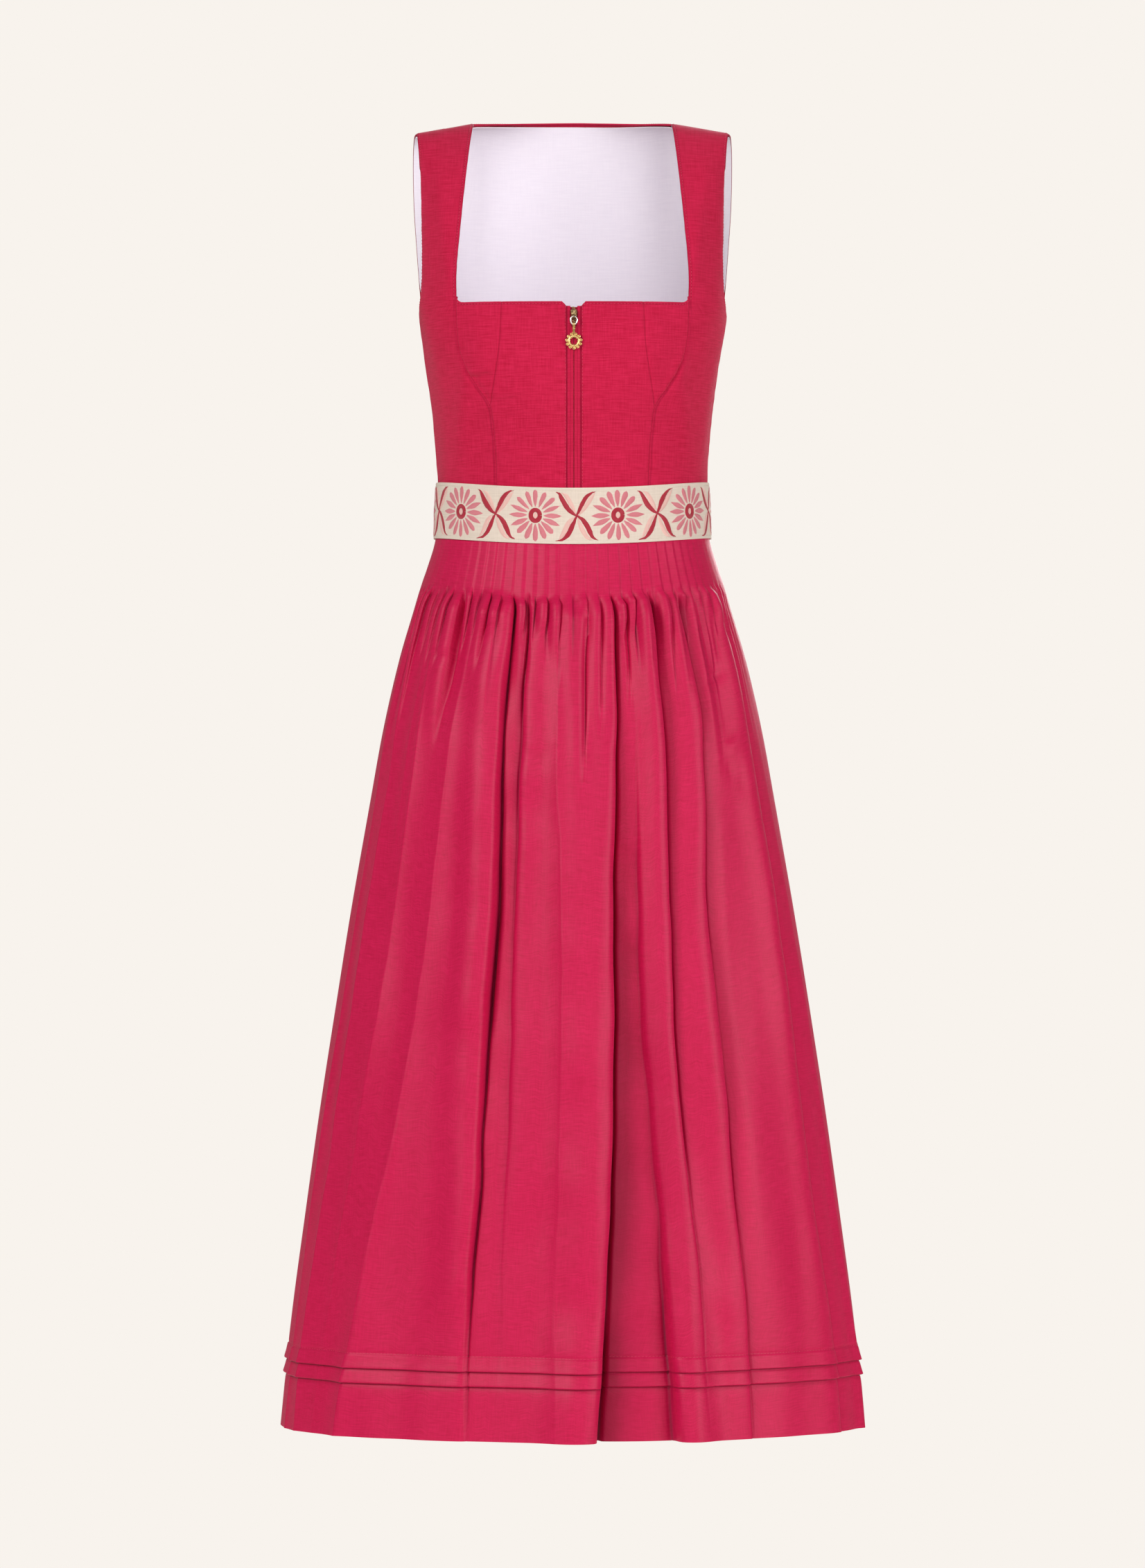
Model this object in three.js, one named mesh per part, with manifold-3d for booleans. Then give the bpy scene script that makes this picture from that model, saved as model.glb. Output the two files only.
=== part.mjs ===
// Dirndl: a zipped bodice with a wide square neck, a waist ribbon and a long pleated skirt.
// Millimetres, +Z up, front towards -Y. Left and right are as seen from the front.
// The origin lies midway between the two shoulder straps, level with their undersides.

import * as THREE from "three";
import { mergeVertices } from "three/addons/utils/BufferGeometryUtils.js";
import Module from "manifold-3d";

const wasm = await Module();
wasm.setup();

// Cloth and seams
const seamGap = 0.3;
const halfGap = seamGap / 2;
const bodiceCloth = 1.2;
const liningCloth = 1.0;
const liningStand = 0.45;
const skirtCloth = 1.5;
const ribbonCloth = 1.6;
const ribbonStand = 0.4;

// Heights on the dress
const crestLift = 1.2;
const neckZ = -168;
const armholeZ = -178;
const bustPointZ = -260;
const waistZ = -350;
const ribbonTopZ = -324;
const ribbonTall = 50.2;
const yokeEndZ = -414;
const hemZ = -1170.5;

// Shoulders and back neck
const shoulderY = 12;
const neckPointX = 89;
const shoulderX = 141;
const shoulderDrop = 9;
const backNeckY = 70;
const backNeckZ = 7.5;
const neckRounding = 2.2;
const liningBelowNeck = 0.15;

// Zip
const zipX = 1.2;
const zipLipWidth = 6.2;
const zipLipGap = 0.4;
const zipNotchDepth = 4;
const zipNotchWidth = 6;
const zipLipParting = 2.9;
const zipPartedZ = -184.5;
const zipPartingTall = 12;
const zipChainHalf = 2.6;
const zipChainThick = 1.4;
const slider = { wide: 5.6, tall: 8, z: -180, backY: 116.1 };

// Zip pull: wire, holes and heights of the two hinges
const pull = {
  y: -121.2,
  wire: 0.8,
  hole: 1.25,
  wall: 0.8,
  bridgeWide: 2,
  linkWide: 5.9,
  linkTopZ: -182,
  linkBottomZ: -189.1,
};
const charm = {
  z: -203.9,
  ringInside: 3.35,
  ringOutside: 5.4,
  thick: 1.6,
  petals: 11,
  petalReach: 6.3,
  petalRadius: 1.6,
  petalThick: 2.1,
  barWide: 2.8,
  barThick: 1.2,
  eyeWide: 2.4,
};

// Pleats: how many on each half, how far each stands out, how steep its edge is and where it rises
const pleatsPerHalf = 38;
const pleatHeight = 1.2;
const pleatStep = 0.12;
const pleatStartZ = -375;
const pleatFullZ = -378;

// Spacing of points
const panelColumns = { centreFront: 5, bust: 4, sideFront: 7, sideBack: 5, backCentre: 10, zip: 2 };
const ribbonColumns = 32;
const skirtColumns = 36;
const foldColumn = 0.018;
const columnSpace = 0.0144;
const roundSteps = 8;
const linkSteps = 20;
const petalSides = 6;
const weld = 1e-4;

// How the straps round over the shoulder: pull of the curve at its ends
const strapCurve = {
  frontOut: 150,
  chestOut: 10,
  frontDown: 210,
  backOut: 170,
  backDown: 190,
  neckOut: 45,
  neckDown: 90,
};
const armShare = 0.985;
const girthEvening = 0.065;

// Folds lean over by this share of their edge where they stand this high, and fade at the side seams
const foldLean = 0.45;
const foldLeanHigh = 12;
const sideFade = 8;

// Girth of the bodice below the neckline: half width, depth to the front and to the back, squareness
const bodiceGirth = [
  { z: -168, half: 139, front: 114, back: 108, power: 3.0, dip: 0 },
  { z: -190, half: 136.5, front: 118, back: 107, power: 2.8, dip: 0 },
  { z: -220, half: 131.5, front: 119, back: 104, power: 2.6, dip: 0 },
  { z: -255, half: 126.8, front: 115, back: 99, power: 2.42, dip: 0 },
  { z: -285, half: 123.8, front: 107, back: 95, power: 2.3, dip: 0 },
  { z: -320, half: 121.2, front: 98, back: 90, power: 2.25, dip: 8 },
  { z: -350, half: 122.3, front: 94, back: 88, power: 2.25, dip: 8 },
];

// Girth of the skirt; dip is how much lower the line lies at the centre front
const skirtGirth = [
  { z: -350, half: 122.3, front: 94, back: 88, power: 2.25, dip: 8 },
  { z: -376, half: 123.6, front: 97, back: 91, power: 2.25, dip: 8 },
  { z: -401, half: 131, front: 103, back: 98, power: 2.2, dip: 11 },
  { z: -414, half: 135.5, front: 107, back: 103, power: 2.18, dip: 13 },
  { z: -438, half: 142.6, front: 112, back: 108, power: 2.15, dip: 12 },
  { z: -482, half: 155.7, front: 119, back: 117, power: 2.1, dip: 9 },
  { z: -544, half: 170, front: 128, back: 128, power: 2.06, dip: 4 },
  { z: -606, half: 181.3, front: 135, back: 136, power: 2.03, dip: 0 },
  { z: -700, half: 197.8, front: 144, back: 147, power: 2, dip: 0 },
  { z: -794, half: 213, front: 152, back: 156, power: 2, dip: 0 },
  { z: -887, half: 227.4, front: 159, back: 164, power: 2, dip: 0 },
  { z: -981, half: 240.6, front: 166, back: 171, power: 2, dip: 0 },
  { z: -1074, half: 253, front: 172, back: 177, power: 2, dip: 0 },
  { z: hemZ, half: 262.8, front: 177.8, back: 181.8, power: 2, dip: 0 },
];

// Edges and seams of the bodice, as distances from the centre
const neckEdge = [
  { z: 0, x: 89 },
  { z: -33, x: 90.6 },
  { z: -77, x: 95 },
  { z: -120, x: 100.5 },
  { z: -145, x: 103.4 },
  { z: -168, x: 103.4 },
];
const frontArmhole = [
  { z: 0, x: 141 },
  { z: -21, x: 139.9 },
  { z: -53, x: 137.9 },
  { z: -88, x: 136.2 },
  { z: -130, x: 135 },
  { z: -150, x: 135.2 },
  { z: -168, x: 136.8 },
];
const backArmhole = [
  { z: 0, x: 141.3 },
  { z: -12, x: 143 },
  { z: -49, x: 144.6 },
  { z: -90, x: 144 },
  { z: -126, x: 141 },
  { z: -168, x: 136.8 },
];
const curvedSeam = [
  { z: -168, x: 103.2 },
  { z: -195, x: 102.2 },
  { z: -212, x: 99.6 },
  { z: -228, x: 93.4 },
  { z: -243, x: 84.4 },
  { z: -260, x: 73.2 },
  { z: -275, x: 70.4 },
  { z: -296, x: 68.4 },
  { z: -327, x: 67.1 },
  { z: -350, x: 66.8 },
];
const straightSeam = [
  { z: -168, x: 62.6 },
  { z: -202, x: 64.2 },
  { z: -224, x: 67 },
  { z: -248, x: 70.8 },
  { z: -260, x: 72.4 },
];
const backSeam = [
  { z: 0, x: 114 },
  { z: -60, x: 108 },
  { z: -110, x: 98 },
  { z: -168, x: 82 },
  { z: -220, x: 66 },
  { z: -280, x: 52 },
  { z: -350, x: 46 },
];

// Bust fullness that the seams shape
const bust = { x: 72, z: -218, wide: 36, tall: 42, height: 5 };

// Where the long folds run, as shares of the way from the centre (0) to a side seam (-1 or 1)
const frontFoldLines = [
  { top: -1, mid: -1, hem: -1 },
  { top: -0.73, mid: -0.73, hem: -0.79 },
  { top: -0.44, mid: -0.478, hem: -0.62 },
  { top: -0.27, mid: -0.272, hem: -0.268 },
  { top: -0.05, mid: -0.036, hem: -0.045 },
  { top: 0.158, mid: 0.118, hem: 0.056 },
  { top: 0.25, mid: 0.22, hem: 0.264 },
  { top: 0.34, mid: 0.3, hem: 0.34 },
  { top: 0.5, mid: 0.443, hem: 0.46 },
  { top: 0.76, mid: 0.735, hem: 0.75 },
  { top: 1, mid: 1, hem: 1 },
];
const backFoldLines = [
  { top: -1, mid: -1, hem: -1 },
  { top: -0.6, mid: -0.63, hem: -0.68 },
  { top: -0.33, mid: -0.35, hem: -0.4 },
  { top: -0.06, mid: -0.09, hem: -0.1 },
  { top: 0.14, mid: 0.17, hem: 0.2 },
  { top: 0.4, mid: 0.42, hem: 0.44 },
  { top: 0.68, mid: 0.71, hem: 0.73 },
  { top: 1, mid: 1, hem: 1 },
];

// Folds: place at the top, height at three levels, reach, edge softness and which side drops (0 is round)
const frontFolds = [
  { at: -0.74, top: 3, mid: 4, hem: 5, reach: 26, edge: 10, drop: 0 },
  { at: -0.6, top: 4, mid: 2, hem: 0, reach: 18, edge: 9, drop: 0 },
  { at: -0.44, top: 4, mid: 5, hem: 6, reach: 24, edge: 10, drop: 0 },
  { at: -0.35, top: 3, mid: 0, hem: -3, reach: 16, edge: 8, drop: 0 },
  { at: -0.27, top: 6, mid: 9, hem: 1, reach: 30, edge: 7, drop: 1 },
  { at: -0.186, top: 4, mid: 1, hem: 0, reach: 12, edge: 6, drop: -1 },
  { at: -0.05, top: 4, mid: 4, hem: 0, reach: 16, edge: 8, drop: 0 },
  { at: 0.072, top: -4, mid: -2, hem: 0, reach: 12, edge: 8, drop: 0 },
  { at: 0.158, top: 6, mid: 13, hem: 13, reach: 48, edge: 8, drop: 1 },
  { at: 0.25, top: 0, mid: 5, hem: 10, reach: 40, edge: 8, drop: -1 },
  { at: 0.34, top: 5, mid: 3, hem: 0, reach: 18, edge: 8, drop: 1 },
  { at: 0.5, top: 6, mid: 7, hem: 1, reach: 26, edge: 8, drop: 1 },
  { at: 0.76, top: 5, mid: 4, hem: 2, reach: 24, edge: 9, drop: 1 },
];
const backFolds = [
  { at: -0.79, top: 4, mid: 4, hem: 4, reach: 24, edge: 9, drop: 0 },
  { at: -0.6, top: 5, mid: 7, hem: 4, reach: 26, edge: 8, drop: -1 },
  { at: -0.33, top: 6, mid: 10, hem: 9, reach: 34, edge: 8, drop: 1 },
  { at: -0.18, top: -3, mid: -2, hem: 0, reach: 14, edge: 8, drop: 0 },
  { at: -0.06, top: 5, mid: 6, hem: 8, reach: 24, edge: 10, drop: 0 },
  { at: 0.14, top: 6, mid: 11, hem: 11, reach: 38, edge: 8, drop: -1 },
  { at: 0.28, top: 4, mid: 2, hem: 0, reach: 14, edge: 8, drop: 0 },
  { at: 0.4, top: 5, mid: 6, hem: 7, reach: 26, edge: 9, drop: 1 },
  { at: 0.68, top: 6, mid: 7, hem: 3, reach: 28, edge: 8, drop: 1 },
];
const foldLevels = { start: yokeEndZ, top: -470, mid: -800, hem: hemZ };

// Two tucks above the hem: height of each point and how far the cloth stands out there
const tuckRelief = [
  { z: -1075, out: 0 },
  { z: -1097, out: 0.3 },
  { z: -1109.4, out: 2.4 },
  { z: -1110.2, out: 1.1 },
  { z: -1122.4, out: 2.2 },
  { z: -1123.2, out: 0 },
  { z: hemZ, out: 0 },
];

// Small helpers

function clamp(value, low, high) {
  return Math.min(Math.max(value, low), high);
}

function mix(a, b, t) {
  return a + (b - a) * t;
}

function smooth(from, to, value) {
  const t = clamp((value - from) / (to - from), 0, 1);
  return t * t * (3 - 2 * t);
}

function hermite(p0, m0, p1, m1, t) {
  const t2 = t * t;
  const t3 = t2 * t;
  return (
    (2 * t3 - 3 * t2 + 1) * p0 + (t3 - 2 * t2 + t) * m0 + (3 * t2 - 2 * t3) * p1 + (t3 - t2) * m1
  );
}

// Reads one column of a table whose rows run downwards, on a smooth curve through the rows.
function readTable(table, z, column) {
  const last = table.length - 1;
  let i = 0;
  while (i < last - 1 && z < table[i + 1].z) i += 1;
  const slope = (k) => {
    const a = table[Math.max(k - 1, 0)];
    const b = table[Math.min(k + 1, last)];
    return (b[column] - a[column]) / (b.z - a.z);
  };
  const high = table[i];
  const low = table[i + 1];
  const tall = low.z - high.z;
  const t = clamp((z - high.z) / tall, 0, 1);
  return hermite(high[column], slope(i) * tall, low[column], slope(i + 1) * tall, t);
}

// Reads a column on straight lines between the rows.
function readStraight(table, key, value, column) {
  const last = table.length - 1;
  const down = table[last][key] < table[0][key];
  let i = 0;
  while (i < last - 1 && (down ? value < table[i + 1][key] : value > table[i + 1][key])) i += 1;
  const t = clamp((value - table[i][key]) / (table[i + 1][key] - table[i][key]), 0, 1);
  return mix(table[i][column], table[i + 1][column], t);
}

// A closed wall between two grids of points that share their layout: faces, backs and the four edges.
function wallFromGrids(outer, inner) {
  const rows = outer.length - 1;
  const columns = outer[0].length - 1;
  const positions = [];
  const quad = (a, b, c, d) => {
    for (const p of [a, b, c, a, c, d]) positions.push(p.x, p.y, p.z);
  };
  for (let j = 0; j < rows; j += 1) {
    for (let i = 0; i < columns; i += 1) {
      quad(outer[j][i], outer[j + 1][i], outer[j + 1][i + 1], outer[j][i + 1]);
      quad(inner[j][i], inner[j][i + 1], inner[j + 1][i + 1], inner[j + 1][i]);
    }
    quad(outer[j][0], inner[j][0], inner[j + 1][0], outer[j + 1][0]);
    quad(outer[j][columns], outer[j + 1][columns], inner[j + 1][columns], inner[j][columns]);
  }
  for (let i = 0; i < columns; i += 1) {
    quad(outer[0][i], outer[0][i + 1], inner[0][i + 1], inner[0][i]);
    quad(outer[rows][i], inner[rows][i], inner[rows][i + 1], outer[rows][i + 1]);
  }
  return facingOut(positions);
}

// Turns the triangles round if the shape came out inside out.
function facingOut(positions) {
  let volume = 0;
  const a = new THREE.Vector3();
  const b = new THREE.Vector3();
  const c = new THREE.Vector3();
  for (let i = 0; i < positions.length; i += 9) {
    a.fromArray(positions, i);
    b.fromArray(positions, i + 3);
    c.fromArray(positions, i + 6);
    volume += a.dot(b.cross(c));
  }
  if (volume < 0) {
    for (let i = 0; i < positions.length; i += 9) {
      for (let k = 0; k < 3; k += 1) {
        const kept = positions[i + 3 + k];
        positions[i + 3 + k] = positions[i + 6 + k];
        positions[i + 6 + k] = kept;
      }
    }
  }
  const geometry = new THREE.BufferGeometry();
  geometry.setAttribute("position", new THREE.Float32BufferAttribute(positions, 3));
  geometry.computeVertexNormals();
  return geometry;
}

// The part's materials
const linen = new THREE.MeshStandardMaterial({ color: 0xcb1c43, roughness: 0.85, metalness: 0 });
const satin = new THREE.MeshStandardMaterial({ color: 0xc82951, roughness: 0.5, metalness: 0 });
const liningCotton = new THREE.MeshStandardMaterial({ color: 0xece2ee, roughness: 0.8, metalness: 0 });
const ribbonCotton = new THREE.MeshStandardMaterial({ color: 0xe3dacb, roughness: 0.8, metalness: 0 });
const brass = new THREE.MeshStandardMaterial({ color: 0x7a6136, roughness: 0.4, metalness: 1 });
const nickel = new THREE.MeshStandardMaterial({ color: 0xd8d4cc, roughness: 0.25, metalness: 1 });
const gold = new THREE.MeshStandardMaterial({ color: 0xd9b25c, roughness: 0.3, metalness: 1 });

const dirndl = new THREE.Group();
dirndl.name = "dirndl";

function addPiece(name, geometry, material) {
  const mesh = new THREE.Mesh(geometry, material);
  mesh.name = name;
  dirndl.add(mesh);
  return mesh;
}

// Bodice form
// A level runs 0 to 1 from the shoulder to the neckline's height, and 1 to 2 from there to the waist.

function levelOf(z) {
  return 1 + (neckZ - z) / (neckZ - waistZ);
}

function heightOf(level) {
  return neckZ - (level - 1) * (neckZ - waistZ);
}

// Half a girth: how far in front of or behind the side line the cloth lies at a distance x.
function girthDepth(table, z, x, column) {
  const half = readTable(table, z, "half");
  const power = readTable(table, z, "power");
  const share = clamp(Math.abs(x) / half, 0, 1);
  const depth = readTable(table, z, column) * Math.pow(1 - Math.pow(share, power), 1 / power);
  return Math.max(depth, halfGap);
}

// Distance x at a share of the way from the centre to the side, evenly along the girth.
function girthX(table, z, share) {
  const power = readTable(table, z, "power");
  return readTable(table, z, "half") * Math.pow(Math.sin((share * Math.PI) / 2), 2 / power);
}

function girthShare(table, z, x) {
  const power = readTable(table, z, "power");
  const sine = Math.pow(clamp(x / readTable(table, z, "half"), 0, 1), power / 2);
  return (Math.asin(sine) * 2) / Math.PI;
}

function bustHeight(x, z) {
  const across = (Math.abs(x) - bust.x) / bust.wide;
  const down = (z - bust.z) / bust.tall;
  return bust.height * Math.exp(-across * across - down * down);
}

function centreDip(table, z, x) {
  const share = clamp(Math.abs(x) / readTable(table, z, "half"), 0, 1);
  return readTable(table, z, "dip") * (1 - share * share);
}

function crestHeight(x) {
  return crestLift - shoulderDrop * clamp((Math.abs(x) - neckPointX) / (shoulderX - neckPointX), 0, 1);
}

// Outer face of the front at distance x and a level.
function frontPoint(x, level) {
  const z = Math.min(heightOf(level), neckZ);
  if (level >= 1) {
    const y = -girthDepth(bodiceGirth, z, x, "front") - bustHeight(x, z);
    return new THREE.Vector3(x, y, z - centreDip(bodiceGirth, z, x));
  }
  const chest = -girthDepth(bodiceGirth, z, underArmX(x), "front") - bustHeight(x, z);
  return new THREE.Vector3(
    x,
    hermite(shoulderY - halfGap, -strapCurve.frontOut, chest, -strapCurve.chestOut, level),
    hermite(crestHeight(x), 0, neckZ, -strapCurve.frontDown, level),
  );
}

// Outer face of the back. Between the straps its top edge is the back neckline.
function backPoint(x, level) {
  const z = Math.min(heightOf(level), neckZ);
  if (level >= 1) return new THREE.Vector3(x, girthDepth(bodiceGirth, z, x, "back"), z);
  const blade = girthDepth(bodiceGirth, z, underArmX(x), "back");
  const across = clamp(1 - Math.pow(Math.abs(x) / neckPointX, neckRounding), 0, 1);
  const strap = smooth(0, 1, Math.abs(x) / neckPointX);
  const top = shoulderY + halfGap + (backNeckY - shoulderY) * across;
  const topZ = crestHeight(x) + (backNeckZ - crestLift) * across;
  return new THREE.Vector3(
    x,
    hermite(top, mix(strapCurve.neckOut, strapCurve.backOut, strap), blade, 0, level),
    hermite(topZ, mix(-strapCurve.neckDown, 0, strap), neckZ, -strapCurve.backDown, level),
  );
}

// The chest's own depth is read no further out than the arm's edge.
function underArmX(x) {
  return Math.min(Math.abs(x), armShare * bodiceGirth[0].half);
}

// Roughly outwards from the body: away from the shoulder line, sideways and up.
function outwardFrom(point) {
  const sideways = 0.2;
  const up = 40;
  return new THREE.Vector3(point.x * sideways, point.y - shoulderY, up);
}

// Reads a surface at a grid of shares across and levels down, with the outward direction at each point.
function readGrid(place, levels, columns) {
  const step = 0.004;
  const lowest = levels[levels.length - 1];
  return levels.map((level) => {
    const row = [];
    for (let i = 0; i <= columns; i += 1) {
      const share = i / columns;
      const point = place(share, level);
      const across = place(Math.min(share + step, 1), level).sub(place(Math.max(share - step, 0), level));
      const above = place(share, Math.max(level - step, levels[0]));
      const down = place(share, Math.min(level + step, lowest)).sub(above);
      const out = across.cross(down).normalize();
      if (out.dot(outwardFrom(point)) < 0) out.negate();
      row.push({ point, out });
    }
    return row;
  });
}

// A wall made from such a grid, its outer face sunk below the grid's points.
function wallOf(grid, sink, cloth) {
  const moved = (depth) =>
    grid.map((row) => row.map(({ point, out }) => point.clone().addScaledVector(out, -depth)));
  return wallFromGrids(moved(sink), moved(sink + cloth));
}

// A panel of the bodice: its edges are distances from the centre at each height, and side is -1 or 1.
// Its points run from left to right, spread evenly along the girth from the neckline's height down.
function panelGrid({ point, side, levels, columns, inner, outer }) {
  const evenX = (share, z) => {
    const from = girthShare(bodiceGirth, z, inner(z));
    const to = mix(girthShare(bodiceGirth, z, outer(z)), 1, smooth(neckZ, armholeZ, z));
    return girthX(bodiceGirth, z, mix(from, to, share));
  };
  const place = (share, level) => {
    if (level >= 1) return point(side * evenX(share, heightOf(level)), level);
    const even = (evenX(share, neckZ) - inner(neckZ)) / (outer(neckZ) - inner(neckZ));
    const z = mix(0, neckZ, level);
    return point(side * mix(inner(z), outer(z), mix(share, even, level)), level);
  };
  const fromLeft = side < 0 ? (share, level) => place(1 - share, level) : place;
  return readGrid(fromLeft, levels, columns);
}

const strapLevels = [0, 0.07, 0.17, 0.32, 0.5, 0.7, 0.88];
const panelHeights = [neckZ, -173, armholeZ, -195, -212, -228, -243, bustPointZ, -284, -320, waistZ];
const panelLevels = panelHeights.map(levelOf);
const bustLevels = panelLevels.slice(0, panelHeights.indexOf(bustPointZ) + 1);

// Front panels
for (const side of [-1, 1]) {
  const word = side < 0 ? "left" : "right";
  const zipEdge = side * zipX + zipLipWidth;
  const outerSeam = (z) => readTable(z >= bustPointZ ? straightSeam : curvedSeam, z, "x");

  // The centre front's top corner is notched beside the zip.
  const centreFront = (share, level) => {
    const z = heightOf(level);
    const x = mix(zipEdge, outerSeam(z) - halfGap, share);
    const p = frontPoint(side * x, level);
    const beside = clamp(1 - (x - zipEdge) / zipNotchWidth, 0, 1);
    const high = clamp((z - armholeZ) / (neckZ - armholeZ), 0, 1);
    p.z -= zipNotchDepth * beside * high;
    return p;
  };
  const centreGrid = readGrid(centreFront, panelLevels, panelColumns.centreFront);
  addPiece("front_centre_" + word, wallOf(centreGrid, 0, bodiceCloth), linen);

  const bustPanel = (share, level) => {
    const z = heightOf(level);
    const from = readTable(straightSeam, z, "x") + halfGap;
    const to = Math.max(readTable(curvedSeam, z, "x") - halfGap, from + seamGap);
    return frontPoint(side * mix(from, to, share), level);
  };
  const bustGrid = readGrid(bustPanel, bustLevels, panelColumns.bust);
  addPiece("bust_panel_" + word, wallOf(bustGrid, 0, bodiceCloth), linen);

  const sideFront = panelGrid({
    point: frontPoint,
    side,
    levels: [...strapLevels, ...panelLevels],
    columns: panelColumns.sideFront,
    inner: (z) => (z > neckZ ? readTable(neckEdge, z, "x") : readTable(curvedSeam, z, "x") + halfGap),
    outer: (z) => readTable(frontArmhole, z, "x"),
  });
  addPiece("side_front_" + word, wallOf(sideFront, 0, bodiceCloth), linen);
}

// Back panels, and the lining made from their points
const sideBacks = [-1, 1].map((side) =>
  panelGrid({
    point: backPoint,
    side,
    levels: [...strapLevels, ...panelLevels],
    columns: panelColumns.sideBack,
    inner: (z) => readTable(backSeam, z, "x") + halfGap,
    outer: (z) => readTable(backArmhole, z, "x"),
  }),
);
const backCentre = readGrid(
  (share, level) => {
    const z = level < 1 ? mix(0, neckZ, level) : heightOf(level);
    const seam = readTable(backSeam, z, "x") - halfGap;
    return backPoint(mix(-seam, seam, share), level);
  },
  [...strapLevels, ...panelLevels],
  panelColumns.backCentre,
);
addPiece("side_back_left", wallOf(sideBacks[0], 0, bodiceCloth), linen);
addPiece("side_back_right", wallOf(sideBacks[1], 0, bodiceCloth), linen);
addPiece("back_centre", wallOf(backCentre, 0, bodiceCloth), linen);

// The lining runs from armhole to armhole and stops just below the neck edge.
const backLining = backCentre.map((row, j) => [
  ...sideBacks[0][j].slice(0, -1),
  ...row,
  ...sideBacks[1][j].slice(1),
]);
backLining[0] = backLining[0].map(({ point, out }, i) => ({
  point: point.clone().lerp(backLining[1][i].point, liningBelowNeck),
  out: out.clone().lerp(backLining[1][i].out, liningBelowNeck).normalize(),
}));
addPiece("back_lining", wallOf(backLining, bodiceCloth + liningStand, liningCloth), liningCotton);

// Zip: two cloth lips that part round the slider, and the chain behind them
const zipHeights = [-172.4, armholeZ, zipPartedZ, -190, -196.5, -212, -228, -243, bustPointZ, -284, -320];
const zipLevels = zipHeights.map(levelOf);
for (const side of [-1, 1]) {
  const lip = (share, level) => {
    const parted = zipLipParting * smooth(zipPartedZ - zipPartingTall, zipPartedZ, heightOf(level));
    const fromZip = mix(zipLipGap + parted, zipLipWidth - seamGap, share);
    return frontPoint(zipX + side * fromZip, level);
  };
  const word = side < 0 ? "left" : "right";
  addPiece("zip_lip_" + word, wallOf(readGrid(lip, zipLevels, panelColumns.zip), 0, bodiceCloth), linen);
}
const chain = (share, level) => frontPoint(zipX + mix(-zipChainHalf, zipChainHalf, share), level);
const chainGrid = readGrid(chain, zipLevels, panelColumns.zip);
addPiece("zip_chain", wallOf(chainGrid, bodiceCloth + seamGap, zipChainThick), brass);

// Joins closed geometries into one.
function joined(geometries) {
  const solids = geometries.map((geometry) => {
    const bare = geometry.clone();
    bare.deleteAttribute("normal");
    bare.deleteAttribute("uv");
    const merged = mergeVertices(bare, weld);
    return new wasm.Manifold(
      new wasm.Mesh({
        numProp: 3,
        vertProperties: merged.attributes.position.array,
        triVerts: new Uint32Array(merged.index.array),
      }),
    );
  });
  const whole = solids.reduce((a, b) => a.add(b)).getMesh();
  const geometry = new THREE.BufferGeometry();
  geometry.setAttribute("position", new THREE.Float32BufferAttribute(whole.vertProperties, 3));
  geometry.setIndex(new THREE.Uint32BufferAttribute(whole.triVerts, 1));
  geometry.computeVertexNormals();
  return geometry;
}

// A flat ring whose axis is X, used for the slider's bridge and the charm's eye.
function crossRing(inside, outside, wide, y, z) {
  const ring = new THREE.Shape();
  ring.absarc(0, 0, outside, 0, Math.PI * 2);
  const hole = new THREE.Path();
  hole.absarc(0, 0, inside, 0, Math.PI * 2, true);
  ring.holes.push(hole);
  const geometry = new THREE.ExtrudeGeometry(ring, {
    depth: wide,
    bevelEnabled: false,
    curveSegments: roundSteps,
  });
  geometry.translate(0, 0, -wide / 2);
  geometry.rotateY(Math.PI / 2);
  return geometry.translate(zipX, y, z);
}

function block(wide, deep, tall, y, z) {
  return new THREE.BoxGeometry(wide, deep, tall).translate(zipX, y, z);
}

// Slider with the bridge that the pull hangs in
const bridgeRadius = pull.hole + pull.wall;
const sliderDeep = -pull.y - bridgeRadius - slider.backY + pull.wall;
const sliderBody = block(slider.wide, sliderDeep, slider.tall, -slider.backY - sliderDeep / 2, slider.z);
const bridge = crossRing(pull.hole, bridgeRadius, pull.bridgeWide, pull.y, pull.linkTopZ);
addPiece("zip_slider", joined([sliderBody, bridge]), brass);

// Oval link: a ring of wire, pushed out to its oval
const linkTall = pull.linkTopZ - pull.linkBottomZ;
const linkRing = new THREE.TorusGeometry(1, pull.wire, roundSteps, linkSteps);
const ringPoints = linkRing.attributes.position;
for (let i = 0; i < ringPoints.count; i += 1) {
  const angle = Math.atan2(ringPoints.getY(i), ringPoints.getX(i));
  ringPoints.setX(i, ringPoints.getX(i) + Math.cos(angle) * (pull.linkWide / 2 - 1));
  ringPoints.setY(i, ringPoints.getY(i) + Math.sin(angle) * (linkTall / 2 - 1));
}
linkRing.rotateX(Math.PI / 2);
linkRing.translate(zipX, pull.y, (pull.linkTopZ + pull.linkBottomZ) / 2);
addPiece("pull_link", joined([linkRing]), nickel);

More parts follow.
